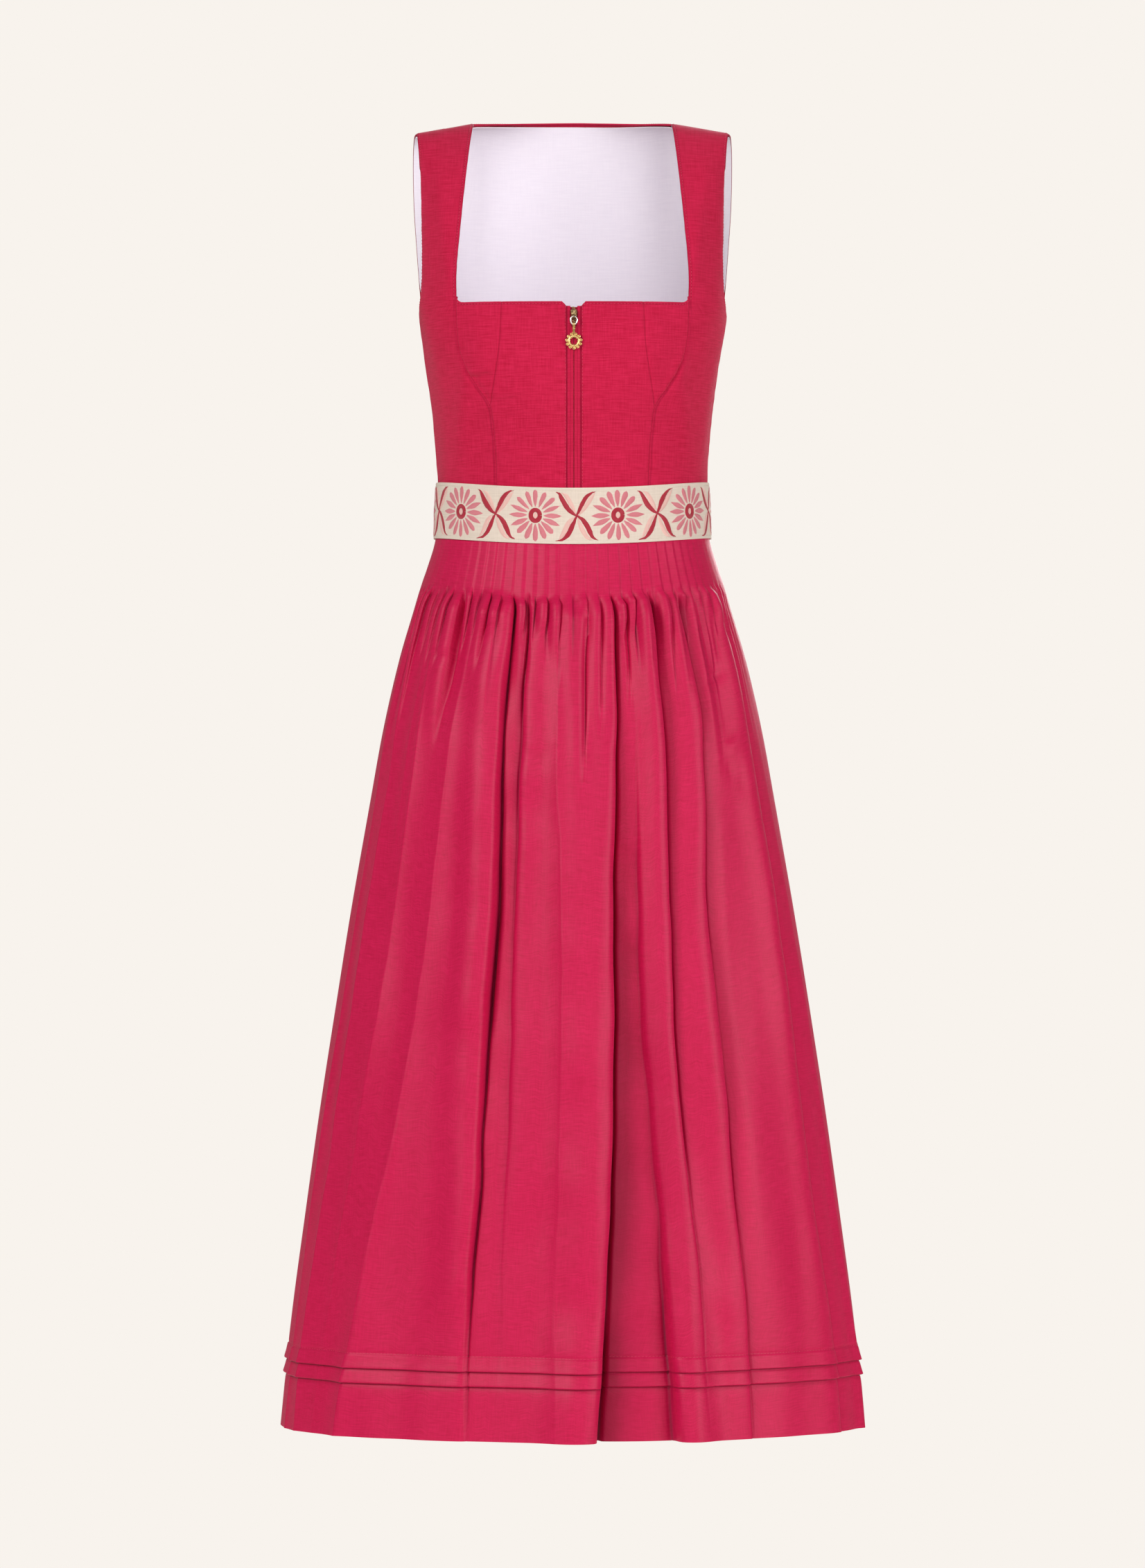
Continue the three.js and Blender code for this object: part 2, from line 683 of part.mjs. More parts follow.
// Charm: an eye round the link, a bar, and a ring of petals
const charmShape = new THREE.Shape();
charmShape.absarc(0, 0, charm.ringOutside, 0, Math.PI * 2);
const charmHole = new THREE.Path();
charmHole.absarc(0, 0, charm.ringInside, 0, Math.PI * 2, true);
charmShape.holes.push(charmHole);
const charmRing = new THREE.ExtrudeGeometry(charmShape, {
  depth: charm.thick,
  bevelEnabled: false,
  curveSegments: roundSteps,
});
charmRing.translate(0, 0, -charm.thick / 2);
charmRing.rotateX(Math.PI / 2);
charmRing.translate(zipX, pull.y, charm.z);
const charmPieces = [charmRing];
for (let i = 0; i < charm.petals; i += 1) {
  const angle = Math.PI / 2 + (i * Math.PI * 2) / charm.petals;
  const petal = new THREE.CylinderGeometry(
    charm.petalRadius,
    charm.petalRadius,
    charm.petalThick,
    petalSides,
  );
  petal.translate(
    zipX + charm.petalReach * Math.cos(angle),
    pull.y,
    charm.z + charm.petalReach * Math.sin(angle),
  );
  charmPieces.push(petal);
}
const barTop = pull.linkBottomZ - pull.hole - pull.wall / 2;
const barBottom = charm.z + charm.ringOutside - charm.thick / 2;
charmPieces.push(block(charm.barWide, charm.barThick, barTop - barBottom, pull.y, (barTop + barBottom) / 2));
charmPieces.push(crossRing(pull.hole, pull.hole + pull.wall, charm.eyeWide, pull.y, pull.linkBottomZ));
addPiece("pull_charm", joined(charmPieces), gold);

// Round the waist and down the skirt
// A place along half a girth runs from -1 at the left side seam over 0 at the centre to 1 at the right.

function girthAngle(place) {
  return (Math.PI / 2) * place - girthEvening * Math.sin(Math.PI * place);
}

// A point of the plain form and the level direction straight out of it.
function girthPoint(table, half, place, z) {
  const power = readTable(table, z, "power");
  const wide = readTable(table, z, "half");
  const deep = readTable(table, z, half);
  const facing = half === "front" ? -1 : 1;
  const at = (share) => {
    const angle = girthAngle(share);
    const x = wide * Math.sign(angle) * Math.pow(Math.abs(Math.sin(angle)), 2 / power);
    const y = facing * deep * Math.pow(Math.max(Math.cos(angle), 0), 2 / power);
    return new THREE.Vector3(x, y, 0);
  };
  const step = 0.003;
  const point = at(place);
  const along = at(Math.min(place + step, 1)).sub(at(Math.max(place - step, -1)));
  const out = new THREE.Vector3(-facing * along.y, facing * along.x, 0).normalize();
  const dip = half === "front" ? centreDip(table, z, point.x) : 0;
  point.z = z - dip;
  if (Math.abs(point.y) < halfGap) point.y = facing * halfGap;
  return { point, out };
}

// Waist ribbon, laid over the waist seam
const ribbonRows = [0, 0.26, 0.52, 1].map((share) => ribbonTopZ - ribbonTall * share);
for (const half of ["front", "back"]) {
  const grid = ribbonRows.map((z) => {
    const table = z > waistZ ? bodiceGirth : skirtGirth;
    const row = [];
    for (let i = 0; i <= ribbonColumns; i += 1) {
      row.push(girthPoint(table, half, mix(-1, 1, i / ribbonColumns), z));
    }
    return row;
  });
  addPiece("waist_ribbon_" + half, wallOf(grid, -ribbonStand - ribbonCloth, ribbonCloth), ribbonCotton);
}

// Outer and inner points of a skirt wall whose outer face carries the relief.
function skirtWall(half, rows, columns, relief) {
  const outer = [];
  const inner = [];
  for (const z of rows) {
    const outerRow = [];
    const innerRow = [];
    for (const column of columns) {
      const { point, out, lift } = relief(half, column, z);
      outerRow.push(point.clone().addScaledVector(out, lift));
      innerRow.push(point.clone().addScaledVector(out, -skirtCloth));
    }
    outer.push(outerRow);
    inner.push(innerRow);
  }
  return wallFromGrids(outer, inner);
}

// Yoke: knife pleats stitched down side by side, two points to each pleat
const yokeRows = [waistZ - seamGap, pleatStartZ, pleatFullZ, yokeEndZ];
const yokeColumns = [];
for (let i = 0; i < pleatsPerHalf; i += 1) {
  yokeColumns.push({ place: mix(-1, 1, i / pleatsPerHalf), high: 0 });
  yokeColumns.push({ place: mix(-1, 1, (i + pleatStep) / pleatsPerHalf), high: 1 });
}
yokeColumns.push({ place: 1, high: 0 });

function yokePoint(half, column, z) {
  const { point, out } = girthPoint(skirtGirth, half, column.place, z);
  return { point, out, lift: column.high * pleatHeight * smooth(pleatStartZ, pleatFullZ, z) };
}

for (const half of ["front", "back"]) {
  addPiece("yoke_" + half, skirtWall(half, yokeRows, yokeColumns, yokePoint), satin);
}

// Skirt below the yoke
const foldRows = [yokeEndZ - seamGap, -438, -470, -520, -590, -680, -780, -880, -980];
const skirtRows = [...foldRows, ...tuckRelief.map((row) => row.z)];

function betweenLevels(row, z) {
  if (z > foldLevels.mid) return mix(row.top, row.mid, smooth(foldLevels.top, foldLevels.mid, z));
  return mix(row.mid, row.hem, clamp((z - foldLevels.mid) / (foldLevels.hem - foldLevels.mid), 0, 1));
}

// Where a fold line has drifted to at this height.
function foldPlace(lines, at, z) {
  const last = lines.length - 1;
  let i = 0;
  while (i < last - 1 && at > lines[i + 1].top) i += 1;
  const share = (at - lines[i].top) / (lines[i + 1].top - lines[i].top);
  return mix(betweenLevels(lines[i], z), betweenLevels(lines[i + 1], z), share);
}

function foldedPoint(half, at, z) {
  const front = half === "front";
  const lines = front ? frontFoldLines : backFoldLines;
  const { point, out } = girthPoint(skirtGirth, half, foldPlace(lines, at, z), z);
  const halfArc = (Math.PI / 4) * (readTable(skirtGirth, z, "half") + readTable(skirtGirth, z, half));
  const along = new THREE.Vector3(front ? -out.y : out.y, front ? out.x : -out.x, 0);
  const begun = smooth(foldLevels.start, foldLevels.top, z) * (1 - Math.pow(Math.abs(at), sideFade));
  for (const fold of front ? frontFolds : backFolds) {
    const away = (foldPlace(lines, at, z) - foldPlace(lines, fold.at, z)) * halfArc;
    const high = betweenLevels(fold, z) * begun;
    if (fold.drop === 0) {
      const near = away / fold.reach;
      point.addScaledVector(out, high * Math.exp(-near * near));
    } else {
      const turn = Math.tanh((fold.drop * away) / fold.edge);
      point.addScaledVector(out, -high * turn * Math.exp(-Math.abs(away) / fold.reach));
      const lean = foldLean * (high / foldLeanHigh) * fold.edge;
      const close = away / (2 * fold.edge);
      point.addScaledVector(along, -fold.drop * lean * turn * Math.exp(-close * close));
    }
  }
  return { point, out, lift: readStraight(tuckRelief, "z", z, "out") };
}

for (const half of ["front", "back"]) {
  const sharp = (half === "front" ? frontFolds : backFolds).filter((fold) => fold.drop !== 0);
  const columns = sharp.flatMap((fold) => [fold.at - foldColumn, fold.at + foldColumn]);
  for (let i = 0; i <= skirtColumns; i += 1) {
    const at = mix(-1, 1, i / skirtColumns);
    if (columns.every((other) => Math.abs(other - at) > columnSpace)) columns.push(at);
  }
  columns.sort((a, b) => a - b);
  addPiece("skirt_" + half, skirtWall(half, skirtRows, columns, foldedPoint), satin);
}

export default dirndl;
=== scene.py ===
import bpy
import bmesh
import math
import numpy as np
from mathutils import Matrix, Vector, noise


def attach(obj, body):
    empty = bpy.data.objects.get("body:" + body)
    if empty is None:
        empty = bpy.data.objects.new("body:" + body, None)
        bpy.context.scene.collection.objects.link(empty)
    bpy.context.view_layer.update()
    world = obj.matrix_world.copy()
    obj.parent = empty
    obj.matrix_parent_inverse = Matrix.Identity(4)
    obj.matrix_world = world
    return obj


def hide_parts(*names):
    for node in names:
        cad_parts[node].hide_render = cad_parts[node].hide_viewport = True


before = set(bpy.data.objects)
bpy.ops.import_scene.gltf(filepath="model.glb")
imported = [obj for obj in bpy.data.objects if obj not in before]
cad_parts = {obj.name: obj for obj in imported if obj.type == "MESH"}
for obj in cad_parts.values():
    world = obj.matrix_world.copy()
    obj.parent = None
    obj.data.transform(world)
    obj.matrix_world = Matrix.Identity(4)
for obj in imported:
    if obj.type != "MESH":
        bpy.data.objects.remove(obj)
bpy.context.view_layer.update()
mm = 0.001
scene = bpy.context.scene
scene.view_settings.view_transform = "Standard"

# Camera
view = {"distance": 6.0, "height": -0.5947, "lens": 153.0, "clipEnd": 60}
camera = bpy.data.objects.new("camera", bpy.data.cameras.new("camera"))
camera.location = (0, -view["distance"], view["height"])
camera.rotation_euler = (math.radians(90), 0, 0)
camera.data.lens = view["lens"]
camera.data.clip_end = view["clipEnd"]
scene.collection.objects.link(camera)
scene.camera = camera

studio = {
    "background": (0.939, 0.896, 0.847), "ambient": 0.26, "floorZ": -1.6, "floorRadius": 2.4, "neckCone": 14.5,
    # name: kind, place, aim, size, power, colour. The neck light reaches the lining alone, through the neck
    "lights": {
        "keyLight": ("AREA", (-3.1, -3.5, 1.5), (0, 0, -0.6), 1.6, 134, (1.0, 0.99, 0.98)),
        "fillLight": ("AREA", (3.9, -2.9, 0.1), (0, 0, -0.7), 2.4, 112, (1.0, 0.985, 0.985)),
        "frontLight": ("AREA", (0.3, -5.7, 0.6), (0, 0, -0.5), 2.8, 58, (1.0, 0.99, 0.985)),
        "backLight": ("AREA", (0.8, 4.6, 1.2), (0, 0, -0.6), 2.6, 150, (1.0, 0.985, 0.97)),
        "neckLight": ("SPOT", (0.18, -1.85, 0.4), (-0.08, 0.09, 0.035), 0.25, 217, (1.0, 1.0, 1.0)),
    },
}
strapShadowed = bpy.data.collections.new("strapShadowed")  # pieces that the side lights leave to the neck light
neckLit = bpy.data.collections.new("neckLit")
for name, (kind, place, aim, size, power, colour) in studio["lights"].items():
    light = bpy.data.lights.new(name, kind)
    light.energy, light.color = power, colour
    lamp = bpy.data.objects.new(name, light)
    lamp.location = place
    lamp.rotation_euler = (Vector(aim) - Vector(place)).to_track_quat("-Z", "Y").to_euler()
    scene.collection.objects.link(lamp)
    if kind == "SPOT":
        light.shadow_soft_size, light.spot_size, light.spot_blend = size, math.radians(studio["neckCone"]), 1.0
        lamp.light_linking.receiver_collection = neckLit
        lamp.light_linking.blocker_collection = neckLit
    else:
        light.size = size
    if name in ("keyLight", "fillLight"):
        lamp.light_linking.receiver_collection = strapShadowed


# Node helpers: an input is a value or another node's output
def setInputs(tree, node, inputs):
    for key, value in inputs.items():
        if isinstance(value, bpy.types.NodeSocket):
            tree.links.new(value, node.inputs[key])
        else:
            node.inputs[key].default_value = value


def addNode(tree, kind, inputs=None, **settings):
    node = tree.nodes.new(kind)
    for key, value in settings.items():
        setattr(node, key, value)
    setInputs(tree, node, inputs or {})
    return node


def maths(tree, operation, first, second=0.0):
    return addNode(tree, "ShaderNodeMath", {0: first, 1: second}, operation=operation).outputs[0]


def noiseOf(tree, place, **inputs):
    return addNode(tree, "ShaderNodeTexNoise", {"Vector": place, **inputs}).outputs[0]


def mixed(tree, first, second, share):
    first = first if isinstance(first, bpy.types.NodeSocket) else (*first, 1)
    return addNode(tree, "ShaderNodeMix", {0: share, 6: first, 7: (*second, 1)}, data_type="RGBA").outputs[2]


def effectGroup(name, inputs, outputs):
    group = bpy.data.node_groups.new(name, "ShaderNodeTree")
    for label, kind, value in inputs:
        socket = group.interface.new_socket(label, in_out="INPUT", socket_type="NodeSocket" + kind)
        if value is not None:
            socket.default_value = value
    for label in outputs:
        group.interface.new_socket(label, in_out="OUTPUT", socket_type="NodeSocketFloat")
    return group, group.nodes.new("NodeGroupInput").outputs, group.nodes.new("NodeGroupOutput")


world = bpy.data.worlds.new("studioWorld")
scene.world = world
world.use_nodes = True
tree = world.node_tree
tree.nodes.clear()
paperWhite = (*studio["background"], 1)
seen = addNode(tree, "ShaderNodeBackground", {"Color": paperWhite}).outputs[0]
lit = addNode(tree, "ShaderNodeBackground", {"Color": paperWhite, "Strength": studio["ambient"]}).outputs[0]
rays = addNode(tree, "ShaderNodeLightPath").outputs["Is Camera Ray"]
either = addNode(tree, "ShaderNodeMixShader", {0: rays, 1: lit, 2: seen}).outputs[0]
addNode(tree, "ShaderNodeOutputWorld", {"Surface": either})


# Plain weave with uneven threads: height, and a mask of slubs, thick places along the weft and fewer along the warp
def makeWeave():
    group, given, out = effectGroup(
        "clothWeave",
        [("Vector", "Vector", None), ("Threads", "Float", 1600.0), ("Slubs", "Float", 0.5),
         ("Slub Length", "Float", 60.0)], ["Height", "Slub"])
    slubWidth = 900.0

    def slubsAlong(x, y):
        stretch = addNode(group, "ShaderNodeCombineXYZ", {0: x, 1: y, 2: 1.0}).outputs[0]
        place = addNode(group, "ShaderNodeVectorMath", {0: given["Vector"], 1: stretch}, operation="MULTIPLY")
        return noiseOf(group, place.outputs[0], Scale=1.0, Detail=2.0)

    threads = addNode(group, "ShaderNodeVectorMath", {0: given["Vector"], "Scale": given["Threads"]},
                      operation="SCALE")
    parts = addNode(group, "ShaderNodeSeparateXYZ", {0: threads.outputs[0]})
    weave = maths(group, "MULTIPLY", *(maths(group, "SINE", parts.outputs[i]) for i in (0, 1)))
    across, down = slubsAlong(given["Slub Length"], slubWidth), slubsAlong(slubWidth, given["Slub Length"])
    slub = maths(group, "SUBTRACT", maths(group, "ADD", across, maths(group, "MULTIPLY", down, 0.6)), 0.8)
    height = maths(group, "ADD", maths(group, "MULTIPLY", weave, 0.35),
                   maths(group, "MULTIPLY", slub, given["Slubs"]))
    setInputs(group, out, {"Height": height, "Slub": slub})
    return group


# Slow cloudiness of dye and handling
def makeCloud():
    group, given, out = effectGroup(
        "clothCloud", [("Vector", "Vector", None), ("Size", "Float", 14.0), ("Amount", "Float", 0.1)], ["Value"])
    spots = noiseOf(group, given["Vector"], Scale=given["Size"], Detail=3.0, Roughness=0.55)
    off = maths(group, "SUBTRACT", spots, 0.5)
    setInputs(group, out, {"Value": maths(group, "MULTIPLY", off, given["Amount"])})
    return group


weaveGroup = makeWeave()
cloudGroup = makeCloud()


def newMaterial(name):
    material = bpy.data.materials.new(name)
    material.use_nodes = True
    return material, material.node_tree, material.node_tree.nodes["Principled BSDF"]


def bumpOf(tree, height, strength, distance):
    inputs = {"Strength": strength, "Distance": distance, "Height": height}
    return addNode(tree, "ShaderNodeBump", inputs).outputs[0]


# A woven cloth: base and lighter thread colours, thread count in waves a metre, slubs, sheen, and how strongly
# painted shade darkens its seams and folds
def clothMaterial(name, dark, light, threads, slubs, slubLength, bump, rough, sheen, tint=(1.0, 1.0, 1.0),
                  cloud=0.3, gloss=0.15, paintedShading=0.5):
    material, tree, shader = newMaterial(name)
    uv = addNode(tree, "ShaderNodeUVMap", uv_map="cloth").outputs[0]
    weave = addNode(tree, "ShaderNodeGroup", node_tree=weaveGroup)
    setInputs(tree, weave, {"Vector": uv, "Threads": threads, "Slubs": slubs, "Slub Length": slubLength})
    where = addNode(tree, "ShaderNodeTexCoord").outputs["Object"]
    cloudNode = addNode(tree, "ShaderNodeGroup", node_tree=cloudGroup)
    setInputs(tree, cloudNode, {"Vector": where, "Amount": cloud})
    share = maths(tree, "ADD", maths(tree, "MULTIPLY", weave.outputs["Slub"], 1.6), 0.5)
    share = maths(tree, "ADD", share, cloudNode.outputs["Value"])
    share = addNode(tree, "ShaderNodeClamp", {0: share}).outputs[0]
    # Painted shade: seams, sewn grooves and the bottoms of folds are darkened towards a deep copy of the base colour,
    # standing in for the shade that falls in them; the attribute is 1 in them
    paintedShadeMask = addNode(tree, "ShaderNodeAttribute", attribute_name="paintedShadeMask").outputs["Fac"]
    deep = (dark[0] * 0.3, dark[1] * 0.1, dark[2] * 0.35)
    colour = mixed(tree, mixed(tree, dark, light, share), deep, maths(tree, "MULTIPLY", paintedShadeMask, paintedShading))
    setInputs(tree, shader, {
        "Base Color": colour, "Normal": bumpOf(tree, weave.outputs["Height"], bump, 0.0004), "Roughness": rough,
        "Specular IOR Level": gloss, "Sheen Weight": sheen, "Sheen Roughness": 0.45, "Sheen Tint": (*tint, 1)})
    return material


# Embroidery thread: fine ridges across the leaf's length, at this pitch in metres
def threadMaterial(name, dark, light, pitch=0.00042):
    material, tree, shader = newMaterial(name)
    uv = addNode(tree, "ShaderNodeUVMap", uv_map="cloth").outputs[0]
    bent = noiseOf(tree, uv, Scale=900.0, Detail=1.0)
    parts = addNode(tree, "ShaderNodeSeparateXYZ", {0: uv})
    along = maths(tree, "MULTIPLY", parts.outputs[0], 2 * math.pi / pitch)
    along = maths(tree, "ADD", along, maths(tree, "MULTIPLY", parts.outputs[1], 0.8 * math.pi / pitch))
    ridges = maths(tree, "SINE", maths(tree, "ADD", along, maths(tree, "MULTIPLY", bent, 4.0)))
    # The thread is darker in the grooves between ridges and lighter on their crests: painted shade and highlight over
    # the ridges' bump
    share = addNode(tree, "ShaderNodeMapRange", {"Value": ridges, "From Min": -1.0, "From Max": 1.0}).outputs[0]
    setInputs(tree, shader, {"Base Color": mixed(tree, dark, light, share), "Roughness": 0.5, "Sheen Weight": 0.2,
                             "Normal": bumpOf(tree, ridges, 0.5, 0.0003)})
    return material


def metalMaterial(name, bright, dull, rough, wear):
    material, tree, shader = newMaterial(name)
    where = addNode(tree, "ShaderNodeTexCoord").outputs["Object"]
    spots = noiseOf(tree, where, Scale=900.0, Detail=4.0)
    share = addNode(tree, "ShaderNodeMapRange", {"Value": spots, "From Min": 0.4, "From Max": 0.65}).outputs[0]
    worn = addNode(tree, "ShaderNodeMapRange", {"Value": spots, "From Min": 0.3, "From Max": 0.7, "To Min": rough,
                                                "To Max": rough + wear}).outputs[0]
    setInputs(tree, shader, {"Base Color": mixed(tree, bright, dull, share), "Roughness": worn, "Metallic": 1.0,
                             "Normal": bumpOf(tree, spots, 0.15, 0.0002)})
    return material


linen = clothMaterial(
    "bodiceLinen", (0.47, 0.007, 0.041), (0.65, 0.018, 0.079), threads=7800.0, slubs=0.9, slubLength=60.0,
    bump=0.35, rough=0.85, sheen=0.2, tint=(1.0, 0.5, 0.6), cloud=0.35, gloss=0.09)
satin = clothMaterial(
    "skirtSatin", (0.48, 0.004, 0.052), (0.62, 0.009, 0.084), threads=9000.0, slubs=0.35, slubLength=70.0,
    bump=0.14, rough=0.42, sheen=0.03, tint=(1.0, 0.55, 0.7), gloss=0.2, paintedShading=0.7)
satinInside = clothMaterial(
    "skirtSatinInside", (0.46, 0.006, 0.05), (0.56, 0.012, 0.08), threads=9000.0, slubs=0.5, slubLength=60.0,
    bump=0.2, rough=0.75, sheen=0.05, tint=(1.0, 0.6, 0.7))
cotton = clothMaterial(
    "liningCotton", (0.88, 0.82, 0.91), (0.94, 0.88, 0.96), threads=8400.0, slubs=0.25, slubLength=50.0, bump=0.1,
    rough=0.85, sheen=0.05, cloud=0.2, paintedShading=0.1)
ribbonCotton = clothMaterial(
    "ribbonCotton", (0.68, 0.58, 0.49), (0.78, 0.68, 0.585), threads=7000.0, slubs=0.4, slubLength=40.0, bump=0.3,
    rough=0.85, sheen=0.05, paintedShading=0.25)
pinkThread = threadMaterial("pinkThread", (0.66, 0.15, 0.19), (0.84, 0.29, 0.33))
crimsonThread = threadMaterial("crimsonThread", (0.36, 0.004, 0.022), (0.56, 0.012, 0.045))
paleThread = threadMaterial("palePinkThread", (0.88, 0.50, 0.44), (0.97, 0.64, 0.57))
redThread = threadMaterial("redThread", (0.46, 0.008, 0.04), (0.62, 0.02, 0.08))
creamThread = threadMaterial("creamThread", (0.62, 0.55, 0.44), (0.74, 0.67, 0.56))
brass = metalMaterial("agedBrass", (0.42, 0.30, 0.15), (0.16, 0.10, 0.05), 0.3, 0.2)
silver = metalMaterial("silverWire", (0.86, 0.85, 0.82), (0.62, 0.60, 0.57), 0.14, 0.12)
gold = metalMaterial("goldCharm", (0.92, 0.68, 0.30), (0.66, 0.43, 0.15), 0.22, 0.16)
paper, tree, shader = newMaterial("studioFloor")
paperGrain = addNode(tree, "ShaderNodeTexNoise", {"Scale": 6.0}).outputs[0]
setInputs(tree, shader, {"Base Color": mixed(tree, (0.90, 0.86, 0.81), (0.92, 0.88, 0.83), paperGrain),
                         "Roughness": 0.95})
print("materials made")


# Small helpers
def mix(a, b, t):
    return a + (b - a) * t


def smooth(start, end, value):
    t = np.clip((value - start) / (end - start), 0, 1)
    return t * t * (3 - 2 * t)


def hermite(p0, m0, p1, m1, t):
    t2, t3 = t * t, t * t * t
    return (2 * t3 - 3 * t2 + 1) * p0 + (t3 - 2 * t2 + t) * m0 + (3 * t2 - 2 * t3) * p1 + (t3 - t2) * m1


# Reads a column of a table whose rows run downwards, on a smooth curve
def readTable(table, column, z):
    heights, values = np.array(table["z"], float), np.array(table[column], float)
    last = len(heights) - 1
    i = np.searchsorted(-heights[1:last], -np.asarray(z, float), side="left")
    before, after = np.maximum(i - 1, 0), np.minimum(i + 2, last)
    tall = heights[i + 1] - heights[i]
    high = (values[i + 1] - values[before]) / (heights[i + 1] - heights[before])
    low = (values[after] - values[i]) / (heights[after] - heights[i])
    t = np.clip((z - heights[i]) / tall, 0, 1)
    return hermite(values[i], high * tall, values[i + 1], low * tall, t)


def chance(number, salt):  # the same share from 0 to 1 each run
    return np.modf(np.abs(np.sin(number * 12.9898 + salt * 78.233) * 43758.5453))[0]


def finish(obj, body, nodes=()):
    scene.collection.objects.link(obj)
    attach(obj, body)
    if nodes:
        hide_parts(*nodes)
    return obj


def makeObject(name, bm, material, smoothFaces=True):
    mesh = bpy.data.meshes.new(name)
    bm.to_mesh(mesh)
    bm.free()
    mesh.materials.append(material)
    if smoothFaces:
        mesh.shade_smooth()
    return bpy.data.objects.new(name, mesh)


# Distances along one axis of a grid or line of points, from its start
def runAlong(points, axis=0):
    steps = np.linalg.norm(np.diff(points, axis=axis), axis=-1)
    return np.concatenate([np.zeros_like(np.take(steps, [0], axis=axis)), np.cumsum(steps, axis=axis)], axis=axis)


# A sheet of cloth through a grid of points in mm, rows downwards, with its outward directions
def clothSheet(name, points, outward, material, cloth, inside=None, upright=False, dark=None):
    rows, columns = points.shape[0] - 1, points.shape[1] - 1
    bm = bmesh.new()
    bmesh.ops.create_grid(bm, x_segments=columns, y_segments=rows, size=0.5)
    for edge in bm.edges:
        edge.smooth = not edge.is_boundary
    mesh = bpy.data.meshes.new(name)
    bm.to_mesh(mesh)
    bm.free()
    flat = np.empty(len(mesh.vertices) * 3)
    mesh.vertices.foreach_get("co", flat)
    flat = flat.reshape(-1, 3)
    low, high = flat.min(axis=0), flat.max(axis=0)
    i = np.rint((flat[:, 0] - low[0]) / (high[0] - low[0]) * columns).astype(int)
    j = np.rint((high[1] - flat[:, 1]) / (high[1] - low[1]) * rows).astype(int)
    mesh.vertices.foreach_set("co", (points[j, i] * mm).ravel())
    # Lengths along the cloth, for the weave
    across, down = runAlong(points, 1), runAlong(points)
    across -= across[:, columns // 2][:, None]
    if upright:  # the threads stay level and upright, as in a piece cut on the straight
        across += points[:, columns // 2, :1]
        down = -points[..., 2]
    corner = np.empty(len(mesh.loops), int)
    mesh.loops.foreach_get("vertex_index", corner)
    uvs = mesh.uv_layers.new(name="cloth")
    places = np.stack([across[j[corner], i[corner]], -down[j[corner], i[corner]]], axis=1) * mm
    uvs.data.foreach_set("uv", places.ravel())
    mesh.update()
    for face in mesh.polygons:
        first = face.vertices[0]
        if j[first] == rows // 2 and i[first] == columns // 4:
            if face.normal.dot(Vector(outward[j[first], i[first]])) < 0:
                mesh.flip_normals()
            break
    mesh.shade_smooth()
    # dark is the share of painted shade at each point, stored for the cloth material to darken by
    if dark is not None:
        paintedShading = mesh.attributes.new("paintedShadeMask", "FLOAT", "POINT")
        paintedShading.data.foreach_set("value", np.clip(dark[j, i], 0, 1).astype(np.float32))
    mesh.materials.append(material)
    obj = bpy.data.objects.new(name, mesh)
    thick = obj.modifiers.new("thickness", "SOLIDIFY")
    thick.thickness, thick.offset = cloth * mm, -1
    if inside:
        mesh.materials.append(inside)
        thick.material_offset = 1
    return obj


# Outward directions of a grid of points, turned away from the shoulder line
def outwardOf(points):
    across = np.gradient(points, axis=1)
    down = np.gradient(points, axis=0)
    out = np.cross(across, down)
    out /= np.maximum(np.linalg.norm(out, axis=2, keepdims=True), 1e-9)
    away = np.stack([points[..., 0] * 0.2, points[..., 1] - shoulder["y"], np.full(points.shape[:2], 40.0)], axis=2)
    sign = np.where(np.sum(out * away, axis=2, keepdims=True) < 0, -1.0, 1.0)
    return out * sign


# The bodice's form
neckZ, armholeZ, bustPointZ, waistZ = -168.0, -178.0, -260.0, -350.0
shoulder = {"y": 12.0, "x": 141.0, "neckX": 89.0, "crest": 1.2, "drop": 9.0, "backNeckY": 70.0, "backNeckZ": 7.5,
            "neckPower": 2.2, "underArm": 0.985}
strapCurve = {"frontOut": 150, "chestOut": 10, "frontDown": 210, "backOut": 170, "backDown": 190, "neckOut": 45,
              "neckDown": 90}
bust = {"x": 72, "z": -218, "wide": 36, "tall": 42, "height": 5}
bodiceGirth = {
    "z": [-168, -190, -220, -255, -285, -320, -350],
    "half": [139, 136.5, 131.5, 126.8, 123.8, 121.2, 122.3],
    "front": [114, 118, 119, 115, 107, 98, 94],
    "back": [108, 107, 104, 99, 95, 90, 88],
    "power": [3.0, 2.8, 2.6, 2.42, 2.3, 2.25, 2.25],
    "dip": [0, 0, 0, 0, 0, 8, 8],
}
neckEdge = {"z": [0, -33, -77, -120, -145, -168], "x": [89, 90.6, 95, 100.5, 103.4, 103.4]}
frontArmhole = {"z": [0, -21, -53, -88, -130, -150, -168], "x": [141, 139.9, 137.9, 136.2, 135, 135.2, 136.8]}
backArmhole = {"z": [0, -12, -49, -90, -126, -168], "x": [141.3, 143, 144.6, 144, 141, 136.8]}
curvedSeam = {"z": [-168, -195, -212, -228, -243, -260, -275, -296, -327, -350],
              "x": [103.2, 102.2, 99.6, 93.4, 84.4, 73.2, 70.4, 68.4, 67.1, 66.8]}
straightSeam = {"z": [-168, -202, -224, -248, -260], "x": [62.6, 64.2, 67, 70.8, 72.4]}
backSeam = {"z": [0, -60, -110, -168, -220, -280, -350], "x": [114, 108, 98, 82, 66, 52, 46]}


def levelOf(z):
    return 1 + (neckZ - z) / (neckZ - waistZ)


def heightOf(level):
    return neckZ - (level - 1) * (neckZ - waistZ)


def girthDepth(table, z, x, column):
    power = readTable(table, "power", z)
    share = np.clip(np.abs(x) / readTable(table, "half", z), 0, 1)
    return readTable(table, column, z) * (1 - share ** power) ** (1 / power)


def girthX(z, share):
    return readTable(bodiceGirth, "half", z) * np.sin(share * math.pi / 2) ** (2 / readTable(bodiceGirth, "power", z))


